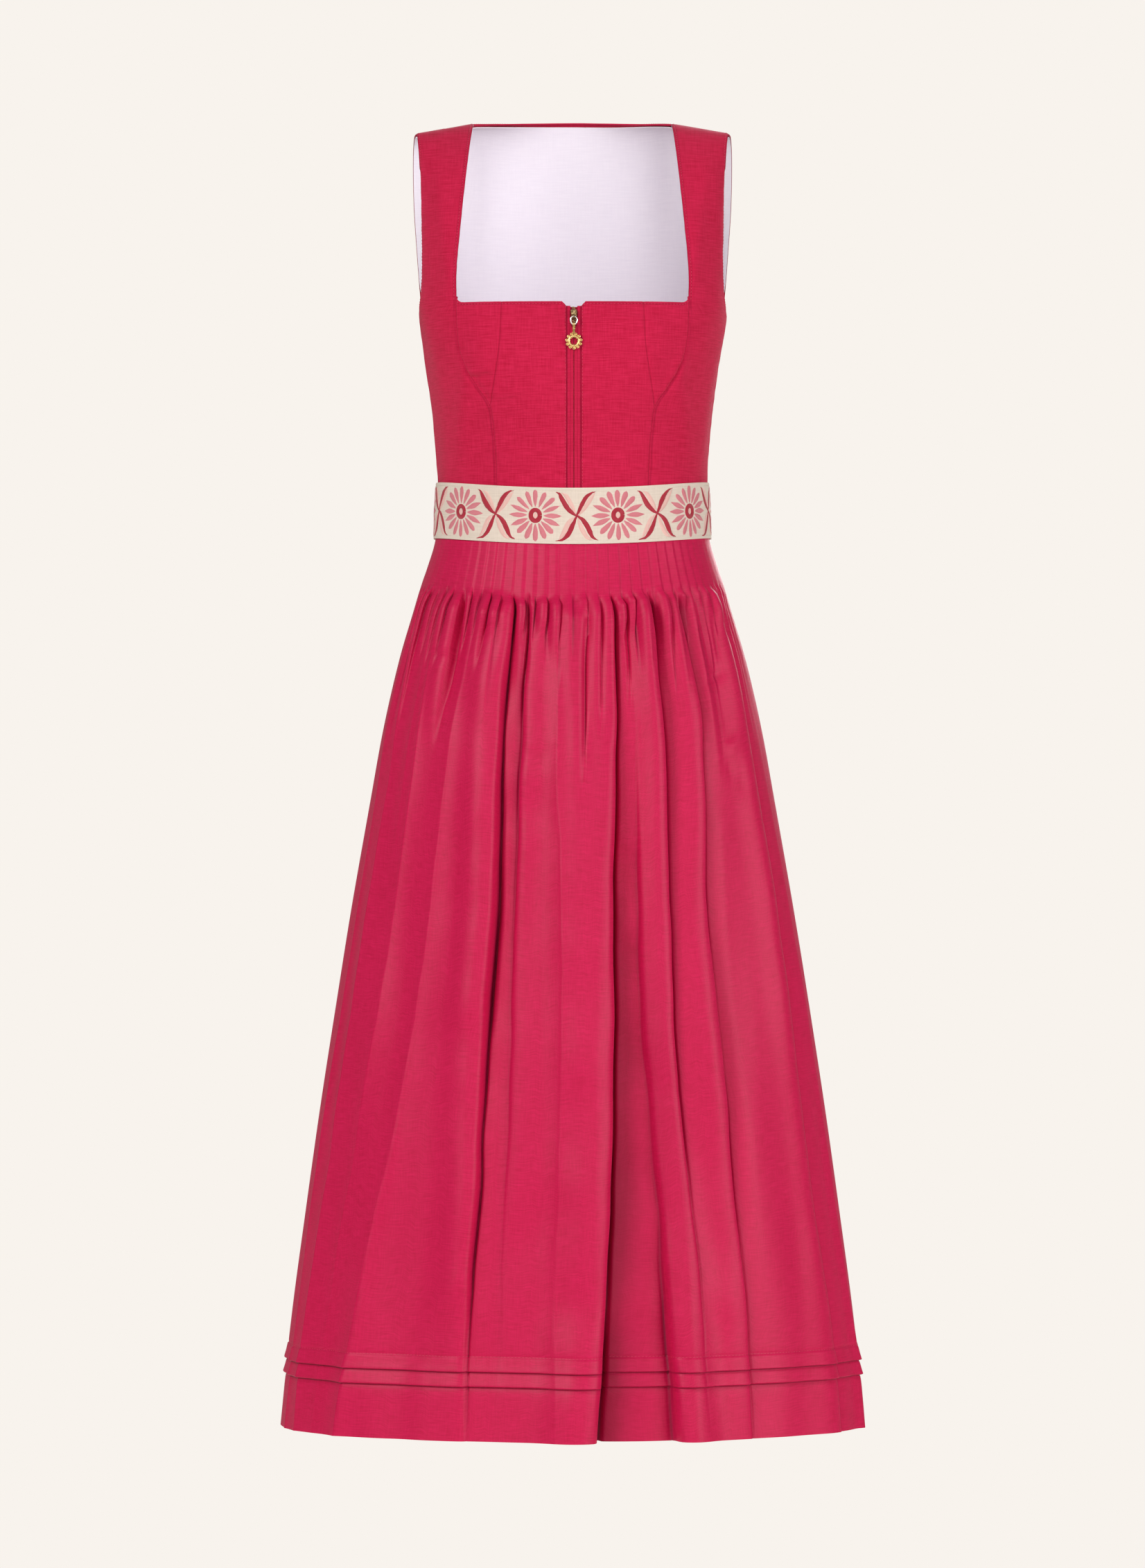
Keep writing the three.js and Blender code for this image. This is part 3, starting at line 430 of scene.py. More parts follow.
def girthShare(z, x):
    sine = np.clip(x / readTable(bodiceGirth, "half", z), 0, 1) ** (readTable(bodiceGirth, "power", z) / 2)
    return np.arcsin(sine) * 2 / math.pi


def bustHeight(x, z):
    across, down = (np.abs(x) - bust["x"]) / bust["wide"], (z - bust["z"]) / bust["tall"]
    return bust["height"] * np.exp(-across ** 2 - down ** 2)


def centreDip(table, z, x):
    share = np.clip(np.abs(x) / readTable(table, "half", z), 0, 1)
    return readTable(table, "dip", z) * (1 - share ** 2)


def crestHeight(x):
    along = np.clip((np.abs(x) - shoulder["neckX"]) / (shoulder["x"] - shoulder["neckX"]), 0, 1)
    return shoulder["crest"] - shoulder["drop"] * along


def underArmX(x):
    return np.minimum(np.abs(x), shoulder["underArm"] * bodiceGirth["half"][0])


def frontPoint(x, level):
    x, level = np.broadcast_arrays(np.asarray(x, float), np.asarray(level, float))
    z = np.minimum(heightOf(level), neckZ)
    low = -girthDepth(bodiceGirth, z, x, "front") - bustHeight(x, z)
    lowZ = z - centreDip(bodiceGirth, z, x)
    chest = -girthDepth(bodiceGirth, z, underArmX(x), "front") - bustHeight(x, z)
    strap = hermite(shoulder["y"], -strapCurve["frontOut"], chest, -strapCurve["chestOut"], level)
    strapZ = hermite(crestHeight(x), 0, neckZ, -strapCurve["frontDown"], level)
    below = level >= 1
    return np.stack([x, np.where(below, low, strap), np.where(below, lowZ, strapZ)], axis=-1)


def backPoint(x, level):
    x, level = np.broadcast_arrays(np.asarray(x, float), np.asarray(level, float))
    z = np.minimum(heightOf(level), neckZ)
    low = girthDepth(bodiceGirth, z, x, "back")
    blade = girthDepth(bodiceGirth, z, underArmX(x), "back")
    across = np.clip(1 - (np.abs(x) / shoulder["neckX"]) ** shoulder["neckPower"], 0, 1)
    strap = smooth(0, 1, np.abs(x) / shoulder["neckX"])
    top = shoulder["y"] + (shoulder["backNeckY"] - shoulder["y"]) * across
    topZ = crestHeight(x) + (shoulder["backNeckZ"] - shoulder["crest"]) * across
    y = hermite(top, mix(strapCurve["neckOut"], strapCurve["backOut"], strap), blade, 0, level)
    highZ = hermite(topZ, mix(-strapCurve["neckDown"], 0, strap), neckZ, -strapCurve["backDown"], level)
    below = level >= 1
    return np.stack([x, np.where(below, low, y), np.where(below, z, highZ)], axis=-1)


# A panel between two edges given as functions of z, spread evenly along the girth below the neckline's height
def panelPoints(point, side, inner, outer, share, level):
    def evenX(part, z):
        start = girthShare(z, inner(z))
        end = mix(girthShare(z, outer(z)), 1, smooth(neckZ, armholeZ, z))
        return girthX(z, mix(start, end, part))
    z = np.minimum(heightOf(level), neckZ)
    chestX = evenX(share, z)
    even = (evenX(share, neckZ) - inner(neckZ)) / (outer(neckZ) - inner(neckZ))
    strapZ = mix(0, neckZ, np.minimum(level, 1))
    strapX = mix(inner(strapZ), outer(strapZ), mix(share, even, np.minimum(level, 1)))
    return point(side * np.where(level >= 1, chestX, strapX), level)


armhole = {"roundFrom": -148, "cornerReach": 0.45, "power": 3, "deepest": 0.98}


# Rounds the armhole's lower corner, along the body's oval: the last column is the armhole's edge
def roundArmhole(points, side):
    def ovalX(y):
        power = armhole["power"]
        return half * (1 - np.clip(np.abs(y) / depth, 0, armhole["deepest"]) ** power) ** (1 / power)

    z, edgeY, facing = points[:, -1, 2], points[:, -1, 1], np.sign(points[-1, 0, 1])
    share = np.clip((z - armhole["roundFrom"]) / (armholeZ - armhole["roundFrom"]), 0, 1)
    corner = facing * edgeY[np.argmin(np.abs(z - armhole["roundFrom"]))]
    targetY = corner * np.sqrt(1 - share ** 2)
    half, depth = bodiceGirth["half"][0], bodiceGirth["front" if facing < 0 else "back"][0]
    begun = smooth(armhole["roundFrom"], neckZ, z) * (z > armholeZ) * (facing * edgeY > targetY)
    outer = smooth(1 - armhole["cornerReach"], 1, np.linspace(0, 1, points.shape[1]))[None, :]
    before = points[..., 1].copy()
    points[..., 1] += outer * (begun * (facing * targetY - edgeY))[:, None]
    points[..., 0] += side * (ovalX(points[..., 1]) - ovalX(before))
    return points


# Shares from 0 to 1 with close points near both edges of a piece this wide
def edgedShares(wide, count, edges=(0, 0.35, 0.8, 1.4, 2.2, 3.2, 4.6)):
    near = np.array(edges) / wide
    return np.concatenate([near, np.linspace(near[-1], 1 - near[-1], count)[1:-1], 1 - near[::-1]])


# Seams and sewn grooves also carry painted shade: one width for both, and its strength in a groove
seams = {"roll": 0.85, "rollReach": 1.0, "paintedShade": 0.6, "groove": 0.4, "grooveAt": 2.3, "grooveReach": 0.5,
         "groovePaintedShade": 0.75, "pucker": 0.35, "puckerReach": 7, "lap": 0.7}


# Edge shapes in mm from an edge: the cloth rolls in at a seam, and a sewn groove follows a finished edge
def seamRelief(distance, sewn=True):
    relief = -seams["roll"] * np.exp(-(distance / seams["rollReach"]) ** 2)
    if sewn:
        relief = relief - seams["groove"] * np.exp(-((distance - seams["grooveAt"]) / seams["grooveReach"]) ** 2)
    return relief


# Soft unevenness of handled cloth, stretched along one direction
def ripple(points, scale, stretch, salt):
    flat = points.reshape(-1, 3)
    spots = flat * scale * np.array(stretch) + np.array([salt, 0, 0])
    return np.array([noise.noise(Vector(spot)) for spot in spots]).reshape(points.shape[:2])


bodice = {"cloth": 1.2, "rowStep": 2.6, "ripple": 1.6, "rippleCalm": 6, "grain": 0.18, "wrinkle": 3.0,
          "seamCalm": 3.0}
# Creases of wear and handling: start x and z, end x and z, half width, height in mm
wrinkles = {
    "front": [(-91, -236, -77, -233, 2.2, -0.8), (-90, -231, -76, -229, 3, 0.7), (-88, -238, -78, -250, 3, -0.5),
              (-68, -251, -52, -249, 3, 0.45), (-115, -176, -111, -222, 5, 0.8), (-110, -222, -98, -256, 5, 0.7),
              (-127, -185, -119, -225, 4.5, 0.8), (-121, -180, -114, -240, 4, -0.6),
              (-104, -262, -108, -322, 8, 0.6), (-84, -268, -92, -330, 6, -0.4), (86, -262, 92, -330, 7, 0.5),
              (-30, -206, -52, -240, 9, 0.35), (-12, -178, -9, -196, 3.5, -0.7), (-17, -174, -13, -192, 4, 0.6),
              (14, -176, 12, -190, 3.5, -0.6), (50, -182, 70, -186, 4, 0.45), (38, -215, 58, -219, 4, 0.35),
              (115, -196, 110, -226, 4, 0.9), (111, -226, 119, -262, 4, 0.8), (104, -205, 114, -245, 4, -0.6),
              (125, -190, 121, -232, 3.5, 0.7), (96, -222, 84, -246, 4, 0.4), (-34, -300, -58, -306, 6, 0.35),
              (92, -292, 112, -300, 6, 0.5), (30, -322, 58, -318, 5, 0.3), (-112, -128, -122, -60, 7, 0.5),
              (116, -120, 122, -52, 7, 0.5)],
    "back": [(-60, -300, -20, -306, 6, 0.6), (25, -318, 70, -310, 6, 0.6), (-90, -210, -98, -290, 8, 0.7),
             (92, -215, 99, -285, 8, 0.7), (-30, -60, 26, -64, 12, 0.5), (-118, -60, -110, -140, 7, 0.5),
             (116, -64, 108, -138, 7, 0.5)],
}


# A soft bump along a line seen from the front
def alongLine(points, start, end, wide):
    startX, startZ = start
    run = np.array([end[0] - startX, end[1] - startZ], float)
    length = np.linalg.norm(run)
    run /= length
    away = np.stack([points[..., 0] - startX, points[..., 2] - startZ], axis=-1)
    along, off = away @ run, away @ np.array([-run[1], run[0]])
    beyond = np.maximum(np.maximum(-along, along - length), 0) / (wide * 2.2)
    return np.exp(-(off / wide) ** 2 - beyond ** 2)


def panelRows(top, bottom, edges=(0, 0.4, 0.9, 1.6, 2.4, 3.4, 4.8)):
    tall = top - bottom
    count = int(tall / bodice["rowStep"])
    return top - tall * edgedShares(tall, count, edges)


# One cut piece of the bodice. Side is -1, 1 or 0 for the middle, and the grid's columns run outwards from the
# centre. Sewn names the edges with a stitched groove: inner, outer, top
def bodicePiece(name, side, points, node, sewn, salt, inside=cotton):
    if side < 0:
        points = points[:, ::-1]
    if side:
        name, node = name + ("Left" if side < 0 else "Right"), node + ("_left" if side < 0 else "_right")
    out = outwardOf(points)
    fromLeft = runAlong(points, 1)
    fromRight = fromLeft[:, -1:] - fromLeft
    inner, outer = (fromRight, fromLeft) if side < 0 else (fromLeft, fromRight)
    sides, fromTop = np.minimum(fromLeft, fromRight), runAlong(points)
    relief = seamRelief(inner, "inner" in sewn) + seamRelief(outer, "outer" in sewn)
    if "top" in sewn:
        relief = relief + seamRelief(fromTop)
    nearest = np.minimum(sides, fromTop)
    fade, calm = (1 - np.exp(-(nearest / bodice[reach]) ** 2) for reach in ("rippleCalm", "seamCalm"))
    relief = relief + bodice["ripple"] * fade * ripple(points, 0.03, (1, 1, 0.6), salt)
    relief = relief + bodice["grain"] * ripple(points, 0.11, (0.5, 0.5, 1.3), salt + 7)
    near = np.exp(-sides / seams["puckerReach"])
    relief = relief + seams["pucker"] * near * ripple(points, 0.12, (0.25, 0.25, 1.0), salt + 3)
    for startX, startZ, endX, endZ, wide, high in wrinkles["front" if points[0, 0, 1] < shoulder["y"] else "back"]:
        relief = relief + bodice["wrinkle"] * high * calm * alongLine(points, (startX, startZ), (endX, endZ), wide)
    points = points + out * relief[..., None]
    # Painted shade along the seams and in the sewn grooves
    paintedShade = np.exp(-(sides / seams["paintedShade"]) ** 2)
    for edge, away in (("inner", inner), ("outer", outer), ("top", runAlong(points))):
        if edge in sewn:
            groove = np.exp(-((away - seams["grooveAt"]) / seams["paintedShade"]) ** 2)
            paintedShade = np.maximum(paintedShade, seams["groovePaintedShade"] * groove)
    obj = clothSheet(name, points, out, linen, bodice["cloth"], inside, upright=True, dark=paintedShade)
    finish(obj, "garment", [node])
    sheets[name] = (obj, points, out)


print("bodice form ready")
zipper = {"x": 1.2, "lipWidth": 6.2, "lipGap": 0.06, "notchDepth": 4.0, "notchWidth": 4.2, "parting": 2.9,
          "partedZ": -184.5, "partingTall": 12.0, "topZ": -172.4, "bottomZ": -338.0}
neckCorner = {"radius": 5.5, "x": 103.15, "fromZ": -190}
tuckedUnder = {"side": (0.5, 1.0), "fade": 4, "shoulder": (0, 0.9, -0.5)}
sheets = {}
strapRows = 62
levels = np.concatenate([np.linspace(0, 1, strapRows), levelOf(panelRows(neckZ, waistZ))[1:]])


def edgeOf(table, lap=0):
    return lambda z: readTable(table, "x", z) + lap


# The side front's inner edge: the neck's edge, and the curved seam below it
def sideFrontEdge(z):
    return np.where(z > neckZ, edgeOf(neckEdge)(z), edgeOf(curvedSeam)(np.minimum(z, neckZ)))


def sidePoints(side, point, inner, outer, wide, count):
    share, level = np.meshgrid(edgedShares(wide, count), levels)
    return roundArmhole(panelPoints(point, side, inner, outer, share, level), side)


for side in (-1, 1):
    # Centre front, notched beside the zip
    zipEdge = side * zipper["x"] + zipper["lipWidth"]
    share, z = np.meshgrid(edgedShares(62.0, 20), panelRows(neckZ, waistZ))
    outerX = np.where(z >= bustPointZ, readTable(straightSeam, "x", z), readTable(curvedSeam, "x", z))
    x = mix(zipEdge, outerX + seams["lap"], share)
    points = frontPoint(side * x, levelOf(z))
    beside = np.clip(1 - (x - zipEdge) / zipper["notchWidth"], 0, 1)
    points[..., 2] -= zipper["notchDepth"] * beside * np.clip((z - armholeZ) / (neckZ - armholeZ), 0, 1)
    bodicePiece("centreFront", side, points, "front_centre", ("top",), side * 11)

    # Small bust panel, rounded up into the neckline's corner
    share, z = np.meshgrid(edgedShares(38.0, 14), panelRows(neckZ, bustPointZ))
    inner = readTable(straightSeam, "x", z)
    x = mix(inner, np.maximum(readTable(curvedSeam, "x", z) + seams["lap"], inner + 0.3), share)
    points = frontPoint(side * x, levelOf(z))
    inCorner = np.clip((x - neckCorner["x"]) / neckCorner["radius"] + 1, 0, 1)
    lift = neckCorner["radius"] * (1 - np.sqrt(1 - inCorner ** 2)) * smooth(neckCorner["fromZ"], neckZ, z)
    points[..., 2] += lift
    bodicePiece("bustPanel", side, points, "bust_panel", ("top",), side * 17)

    # Side front, cut in one with its strap, and tucked under the back at the side and shoulder seams
    points = sidePoints(side, frontPoint, sideFrontEdge, edgeOf(frontArmhole), 42.0, 16)
    belowArm = smooth(armholeZ + tuckedUnder["fade"], armholeZ - tuckedUnder["fade"], points[:, -1, 2])
    points[:, -1, 0] -= side * tuckedUnder["side"][0] * belowArm
    points[:, -1, 1] += tuckedUnder["side"][1] * belowArm
    points[0] += tuckedUnder["shoulder"]
    bodicePiece("sideFront", side, points, "side_front", ("inner",), side * 23)

    # Side back with its half of the strap
    points = sidePoints(side, backPoint, edgeOf(backSeam), edgeOf(backArmhole), 40.0, 14)
    bodicePiece("sideBack", side, points, "side_back", ("outer",), side * 29, linen)

# Centre back, up to the neck
share, level = np.meshgrid(edgedShares(160.0, 44), levels)
seamX = edgeOf(backSeam, seams["lap"])(np.where(level < 1, mix(0, neckZ, level), heightOf(level)))
points = backPoint(mix(-seamX, seamX, share), level)
bodicePiece("centreBack", 0, points, "back_centre", ("top",), 31, linen)

# Back lining: made from the back's own points, just inside the cloth, and stopped below the neck edge
lining = {"cloth": 0.8, "stand": 2.5, "belowNeck": 3.0, "facing": 2, "calmed": 12, "wave": 0.5}
left, right = (sidePoints(side, backPoint, edgeOf(backSeam, seams["lap"]), edgeOf(backArmhole), 40.0, 14)
               for side in (-1, 1))
whole = np.concatenate([left[:, ::-1], points[:, 1:-1], right], axis=1)[:, lining["facing"]:-lining["facing"]]
out = outwardOf(whole)
for _ in range(lining["calmed"]):
    out[1:-1] = out[:-2] + 2 * out[1:-1] + out[2:]
    out /= np.linalg.norm(out, axis=-1, keepdims=True)
firstRow = int(np.argmax(runAlong(whole)[:, whole.shape[1] // 2] > lining["belowNeck"]))
wave = lining["wave"] * ripple(whole, 0.016, (1, 1, 0.7), 91)[..., None]
points, out = (whole - out * (lining["stand"] - wave))[firstRow:], out[firstRow:]
obj = clothSheet("backLining", points, out, cotton, lining["cloth"], upright=True)
finish(obj, "garment", ["back_lining"])
neckLit.objects.link(obj)
strapShadowed.objects.link(obj)
strapShadowed.collection_objects[0].light_linking.link_state = "EXCLUDE"
sheets[obj.name] = (obj, points, out)
print("bodice panels and lining made")

# Zip
# The lips carry painted shade where they meet, round their fold and along the stitched groove
lip = {"cloth": 0.7, "under": 4.0, "deep": 1.6, "ridge": 0.5, "ridgeAt": 1.6, "ridgeReach": 0.9, "stitchAt": 3.2,
       "stitchReach": 0.5, "stitchPaintedShade": 0.6, "join": 0.5, "joinReach": 0.8, "wave": 0.1, "waveTurn": 0.55,
       "seamIn": 0.1}
lipRows = zipper["topZ"] - (zipper["topZ"] - zipper["bottomZ"]) * edgedShares(166.0, 70)
# Columns from the seam to the zip, round the fold and a little way back underneath
bend = lip["deep"] / 2
shares = np.concatenate([np.linspace(0, 1, 11), np.ones(10)])
turns = np.concatenate([np.zeros(11), np.linspace(0, math.pi, 7)[1:], np.full(4, math.pi)])
unders = np.concatenate([np.zeros(17), np.linspace(0, lip["under"], 5)[1:]])
share, z = np.meshgrid(shares, lipRows)
parted = zipper["parting"] * smooth(zipper["partedZ"] - zipper["partingTall"], zipper["partedZ"], z)
fromZip = mix(zipper["lipWidth"] - lip["seamIn"], zipper["lipGap"] + parted + bend, share)
for side, word in ((-1, "Left"), (1, "Right")):
    points = frontPoint(zipper["x"] + side * (fromZip - bend * np.sin(turns) + unders), levelOf(z))
    points[..., 1] += bend * (1 - np.cos(turns))
    out = outwardOf(points)
    join = np.exp(-(runAlong(points, 1) / lip["joinReach"]) ** 2)
    relief = -lip["join"] * join + lip["wave"] * np.sin(z * lip["waveTurn"] + side) * (share > 0.3)
    relief = relief + lip["ridge"] * np.exp(-((fromZip - lip["ridgeAt"]) / lip["ridgeReach"]) ** 2) * (turns == 0)
    points[..., 1] -= relief
    # Painted shade where the lips meet, round the fold under and along the stitched groove
    sewn = lip["stitchPaintedShade"] * np.exp(-((fromZip - lip["stitchAt"]) / lip["stitchReach"]) ** 2) * (turns == 0)
    paintedShade = np.maximum(np.maximum(join, np.clip(turns / 1.2, 0, 1)), sewn)
    obj = clothSheet("zipLip" + word, points, out, linen, lip["cloth"], dark=paintedShade)
    finish(obj, "garment", ["zip_lip_" + word.lower()])
    sheets[obj.name] = (obj, points, out)

# Chain: tapes and interlocking teeth in the gap between the lips
teeth = {"pitch": 1.5, "wide": 2.1, "tall": 0.85, "deep": 0.9, "sink": 2.5, "offset": 0.75, "bevel": 0.15,
         "fromTop": 1.0, "tapeHalf": 12.0, "tapeSink": 3.2, "tapeCloth": 0.5}


def sizeMatrix(place, wide, deep, tall):
    return Matrix.Translation(Vector(place) * mm) @ Matrix.Diagonal((wide * mm, deep * mm, tall * mm, 1))


bm = bmesh.new()
toothZ = zipper["topZ"] - teeth["fromTop"]
while toothZ > zipper["bottomZ"] + 1:
    for side in (-1, 1):
        z = toothZ - (teeth["pitch"] / 2 if side > 0 else 0)
        place = frontPoint(zipper["x"] + side * teeth["offset"], levelOf(z)) + np.array([0, teeth["sink"], 0])
        bmesh.ops.create_cube(bm, size=1.0, matrix=sizeMatrix(place, teeth["wide"], teeth["deep"], teeth["tall"]))
    toothZ -= teeth["pitch"]
bmesh.ops.bevel(bm, geom=bm.edges[:], offset=teeth["bevel"] * mm, affect="EDGES", segments=1, profile=0.5,
                material=-1)
finish(makeObject("zipTeeth", bm, brass, False), "garment", ["zip_chain"])
share, z = np.meshgrid(np.linspace(-1, 1, 7), lipRows[2:-1])
points = frontPoint(zipper["x"] + share * teeth["tapeHalf"], levelOf(z)) + np.array([0, teeth["tapeSink"], 0])
out = outwardOf(points)
zipTape = clothSheet("zipTape", points, out, linen, teeth["tapeCloth"])
finish(zipTape, "garment")
sheets["zipTape"] = (zipTape, points, out)

# Slider, link and charm of the zip pull
pull = {"y": -121.2, "linkTop": -182.0, "linkBottom": -189.1, "wire": 0.8, "linkWide": 5.9, "eye": 1.65,
        "strand": 0.44, "strandApart": 0.62, "strandNeck": 3.4, "strandDeep": 0.4, "eyeFrom": -65, "eyeTurn": 310}
sliderShape = {"wide": 5.6, "tall": 8.0, "deep": 3.6, "z": -180.0, "backY": -116.1, "waist": 0.7, "bevel": 0.5,
               "rail": 0.45, "railAt": (0.33, 0.2), "railReach": 3.2, "railOut": 0.25, "bridge": 0.403,
               "bridgeApart": 0.55, "topNarrow": 0.25, "topFrom": 0.3}
charm = {"z": -203.9, "ringRadius": 4.35, "ringWire": 1.0, "ringDeep": 0.8, "petals": 11, "petalReach": 6.15,
         "petalTop": 1.5, "petalEnd": 0.45, "petalWire": 0.42, "turns": 1.35, "prong": 0.42, "prongReach": 3.35}


def circleRing(bm, place, direction, radius, sides):
    turn = Vector(direction).to_track_quat("Z", "Y").to_matrix().to_4x4()
    made = bmesh.ops.create_circle(bm, segments=sides, radius=radius * mm,
                                   matrix=Matrix.Translation(Vector(place) * mm) @ turn)
    return made["verts"], list({edge for vert in made["verts"] for edge in vert.link_edges})


# A round wire through points in mm, closed on itself or capped
def wireThrough(bm, path, radius, closed=False, sides=10):
    points = [Vector(p) for p in path]
    count = len(points)
    rings = []
    for i, point in enumerate(points):
        ahead = points[(i + 1) % count] if closed or i < count - 1 else point
        behind = points[i - 1] if closed or i > 0 else point
        rings.append(circleRing(bm, point, ahead - behind, radius, sides))
    for first, second in zip(rings, rings[1:] + ([rings[0]] if closed else [])):
        bmesh.ops.bridge_loops(bm, edges=first[1] + second[1])
    if not closed:
        for verts, edges in (rings[0], rings[-1]):
            bmesh.ops.contextual_create(bm, geom=verts)


def roundPath(centre, wide, tall, count, plane="XZ", start=0.0, turn=2 * math.pi):
    path = []
    for i in range(count):
        angle = start + turn * i / (count if turn >= 2 * math.pi - 1e-6 else count - 1)
        across, up = wide * math.cos(angle), tall * math.sin(angle)
        offset = (across, 0, up) if plane == "XZ" else (0, across, up)
        path.append(Vector(centre) + Vector(offset))
    return path


bm = bmesh.new()
frontY = sliderShape["backY"] - sliderShape["deep"]
sliderMiddle = (zipper["x"], (sliderShape["backY"] + frontY) / 2, sliderShape["z"])
block = sizeMatrix(sliderMiddle, sliderShape["wide"], sliderShape["deep"], sliderShape["tall"])
bmesh.ops.create_cube(bm, size=1.0, matrix=block)
bmesh.ops.subdivide_edges(bm, edges=bm.edges[:], cuts=3, use_grid_fill=True)
for vert in bm.verts:  # narrow at the waist below, and a little at the top
    down = (sliderShape["z"] - vert.co.z / mm) / sliderShape["tall"]
    above = max(-down - sliderShape["topFrom"], 0)
    narrow = 1 - (1 - sliderShape["waist"]) * max(down, 0) * 2 - sliderShape["topNarrow"] * above * 2
    vert.co.x = zipper["x"] * mm + (vert.co.x - zipper["x"] * mm) * narrow
outline = [edge for edge in bm.edges if len(edge.link_faces) == 2 and edge.calc_face_angle() > 1.0]
bmesh.ops.bevel(bm, geom=outline, offset=sliderShape["bevel"] * mm, affect="EDGES", segments=3, profile=0.5,
                material=-1)
for side in (-1, 1):
    railTop, railFoot = (zipper["x"] + side * sliderShape["wide"] * share for share in sliderShape["railAt"])
    wireThrough(bm, [(railTop, frontY, sliderShape["z"] + sliderShape["railReach"]),
                     (railTop, frontY - sliderShape["railOut"], sliderShape["z"]),
                     (railFoot, frontY, sliderShape["z"] - sliderShape["railReach"])], sliderShape["rail"])
    archX = zipper["x"] + side * sliderShape["bridgeApart"]
    arch = roundPath((archX, pull["y"], pull["linkTop"]), pull["eye"], pull["eye"], 18, "YZ")
    wireThrough(bm, arch, sliderShape["bridge"], closed=True)
finish(makeObject("zipSlider", bm, brass), "garment", ["zip_slider"])

bm = bmesh.new()
linkMiddle = (zipper["x"], pull["y"], (pull["linkTop"] + pull["linkBottom"]) / 2)
wireThrough(bm, roundPath(linkMiddle, pull["linkWide"] / 2, (pull["linkTop"] - pull["linkBottom"]) / 2, 32),
            pull["wire"], closed=True, sides=14)
finish(makeObject("pullLink", bm, silver), "pull_link", ["pull_link"])

# Charm: two folded strands through the link, a ring, and eleven curled petals with a prong inside each
bm = bmesh.new()
charmMiddle = Vector((zipper["x"], pull["y"], charm["z"]))
neckLow, foot = pull["linkBottom"] - pull["strandNeck"], charm["z"] + charm["ringRadius"] + 0.2
behind, before = pull["y"] + pull["strandDeep"], pull["y"] - pull["strandDeep"]
for side in (-1, 1):
    x = zipper["x"] + side * pull["strandApart"]
    eye = roundPath((x, pull["y"], pull["linkBottom"]), pull["eye"], pull["eye"], 15, "YZ",
                    math.radians(pull["eyeFrom"]), math.radians(pull["eyeTurn"]))
    path = [(x, behind - 0.05, foot), (x, behind, neckLow), *eye, (x, before, neckLow), (x, before - 0.05, foot)]
    wireThrough(bm, path, pull["strand"], sides=8)
wireThrough(bm, roundPath(charmMiddle, charm["ringRadius"], charm["ringRadius"], 44), charm["ringWire"], closed=True,
            sides=12)
for vert in bm.verts:
    if abs((vert.co - charmMiddle * mm).length / mm - charm["ringRadius"]) < 1.2:
        vert.co.y = pull["y"] * mm + (vert.co.y - pull["y"] * mm) * charm["ringDeep"]
for i in range(charm["petals"]):
    angle = math.pi / 2 + (i + 0.5) * 2 * math.pi / charm["petals"]
    outward = Vector((math.cos(angle), 0, math.sin(angle)))
    centre = charmMiddle + outward * charm["petalReach"]
    curl = []
    for share in np.linspace(0, 1, 19):
        turned = angle + math.pi - share * charm["turns"] * 2 * math.pi
        curl.append(centre + Vector((math.cos(turned), 0, math.sin(turned)))
                    * mix(charm["petalTop"], charm["petalEnd"], share) + Vector((0, -0.25 * share, 0)))
    wireThrough(bm, curl, charm["petalWire"], sides=7)
    for place, radius in ((centre + Vector((0, -0.3, 0)), charm["petalEnd"]),
                          (charmMiddle + outward * charm["prongReach"], charm["prong"])):
        bmesh.ops.create_icosphere(bm, subdivisions=2, radius=radius * mm, matrix=Matrix.Translation(place * mm))
finish(makeObject("pullCharm", bm, gold), "pull_charm", ["pull_charm"])
print("zip and pull made")


# Skirt: girth, fold lines and folds, with the same numbers as the solid
hemZ, yokeEndZ = -1170.5, -414.0
skirtGirth = {
    "z": [-350, -376, -401, -414, -438, -482, -544, -606, -700, -794, -887, -981, -1074, hemZ],
    "half": [122.3, 123.6, 131, 135.5, 142.6, 155.7, 170, 181.3, 197.8, 213, 227.4, 240.6, 253, 262.8],
    "front": [94, 97, 103, 107, 112, 119, 128, 135, 144, 152, 159, 166, 172, 177.8],
    "back": [88, 91, 98, 103, 108, 117, 128, 136, 147, 156, 164, 171, 177, 181.8],
    "power": [2.25, 2.25, 2.2, 2.18, 2.15, 2.1, 2.06, 2.03, 2, 2, 2, 2, 2, 2],
    "dip": [8, 8, 11, 13, 12, 9, 4, 0, 0, 0, 0, 0, 0, 0],
}
foldLines = {
    "front": {"top": [-1, -0.73, -0.44, -0.27, -0.05, 0.158, 0.25, 0.34, 0.5, 0.76, 1],
              "mid": [-1, -0.73, -0.478, -0.272, -0.036, 0.118, 0.22, 0.3, 0.443, 0.735, 1],
              "hem": [-1, -0.79, -0.62, -0.268, -0.045, 0.056, 0.264, 0.34, 0.46, 0.75, 1]},
    "back": {"top": [-1, -0.6, -0.33, -0.06, 0.14, 0.4, 0.68, 1],
             "mid": [-1, -0.63, -0.35, -0.09, 0.17, 0.42, 0.71, 1],
             "hem": [-1, -0.68, -0.4, -0.1, 0.2, 0.44, 0.73, 1]},
}
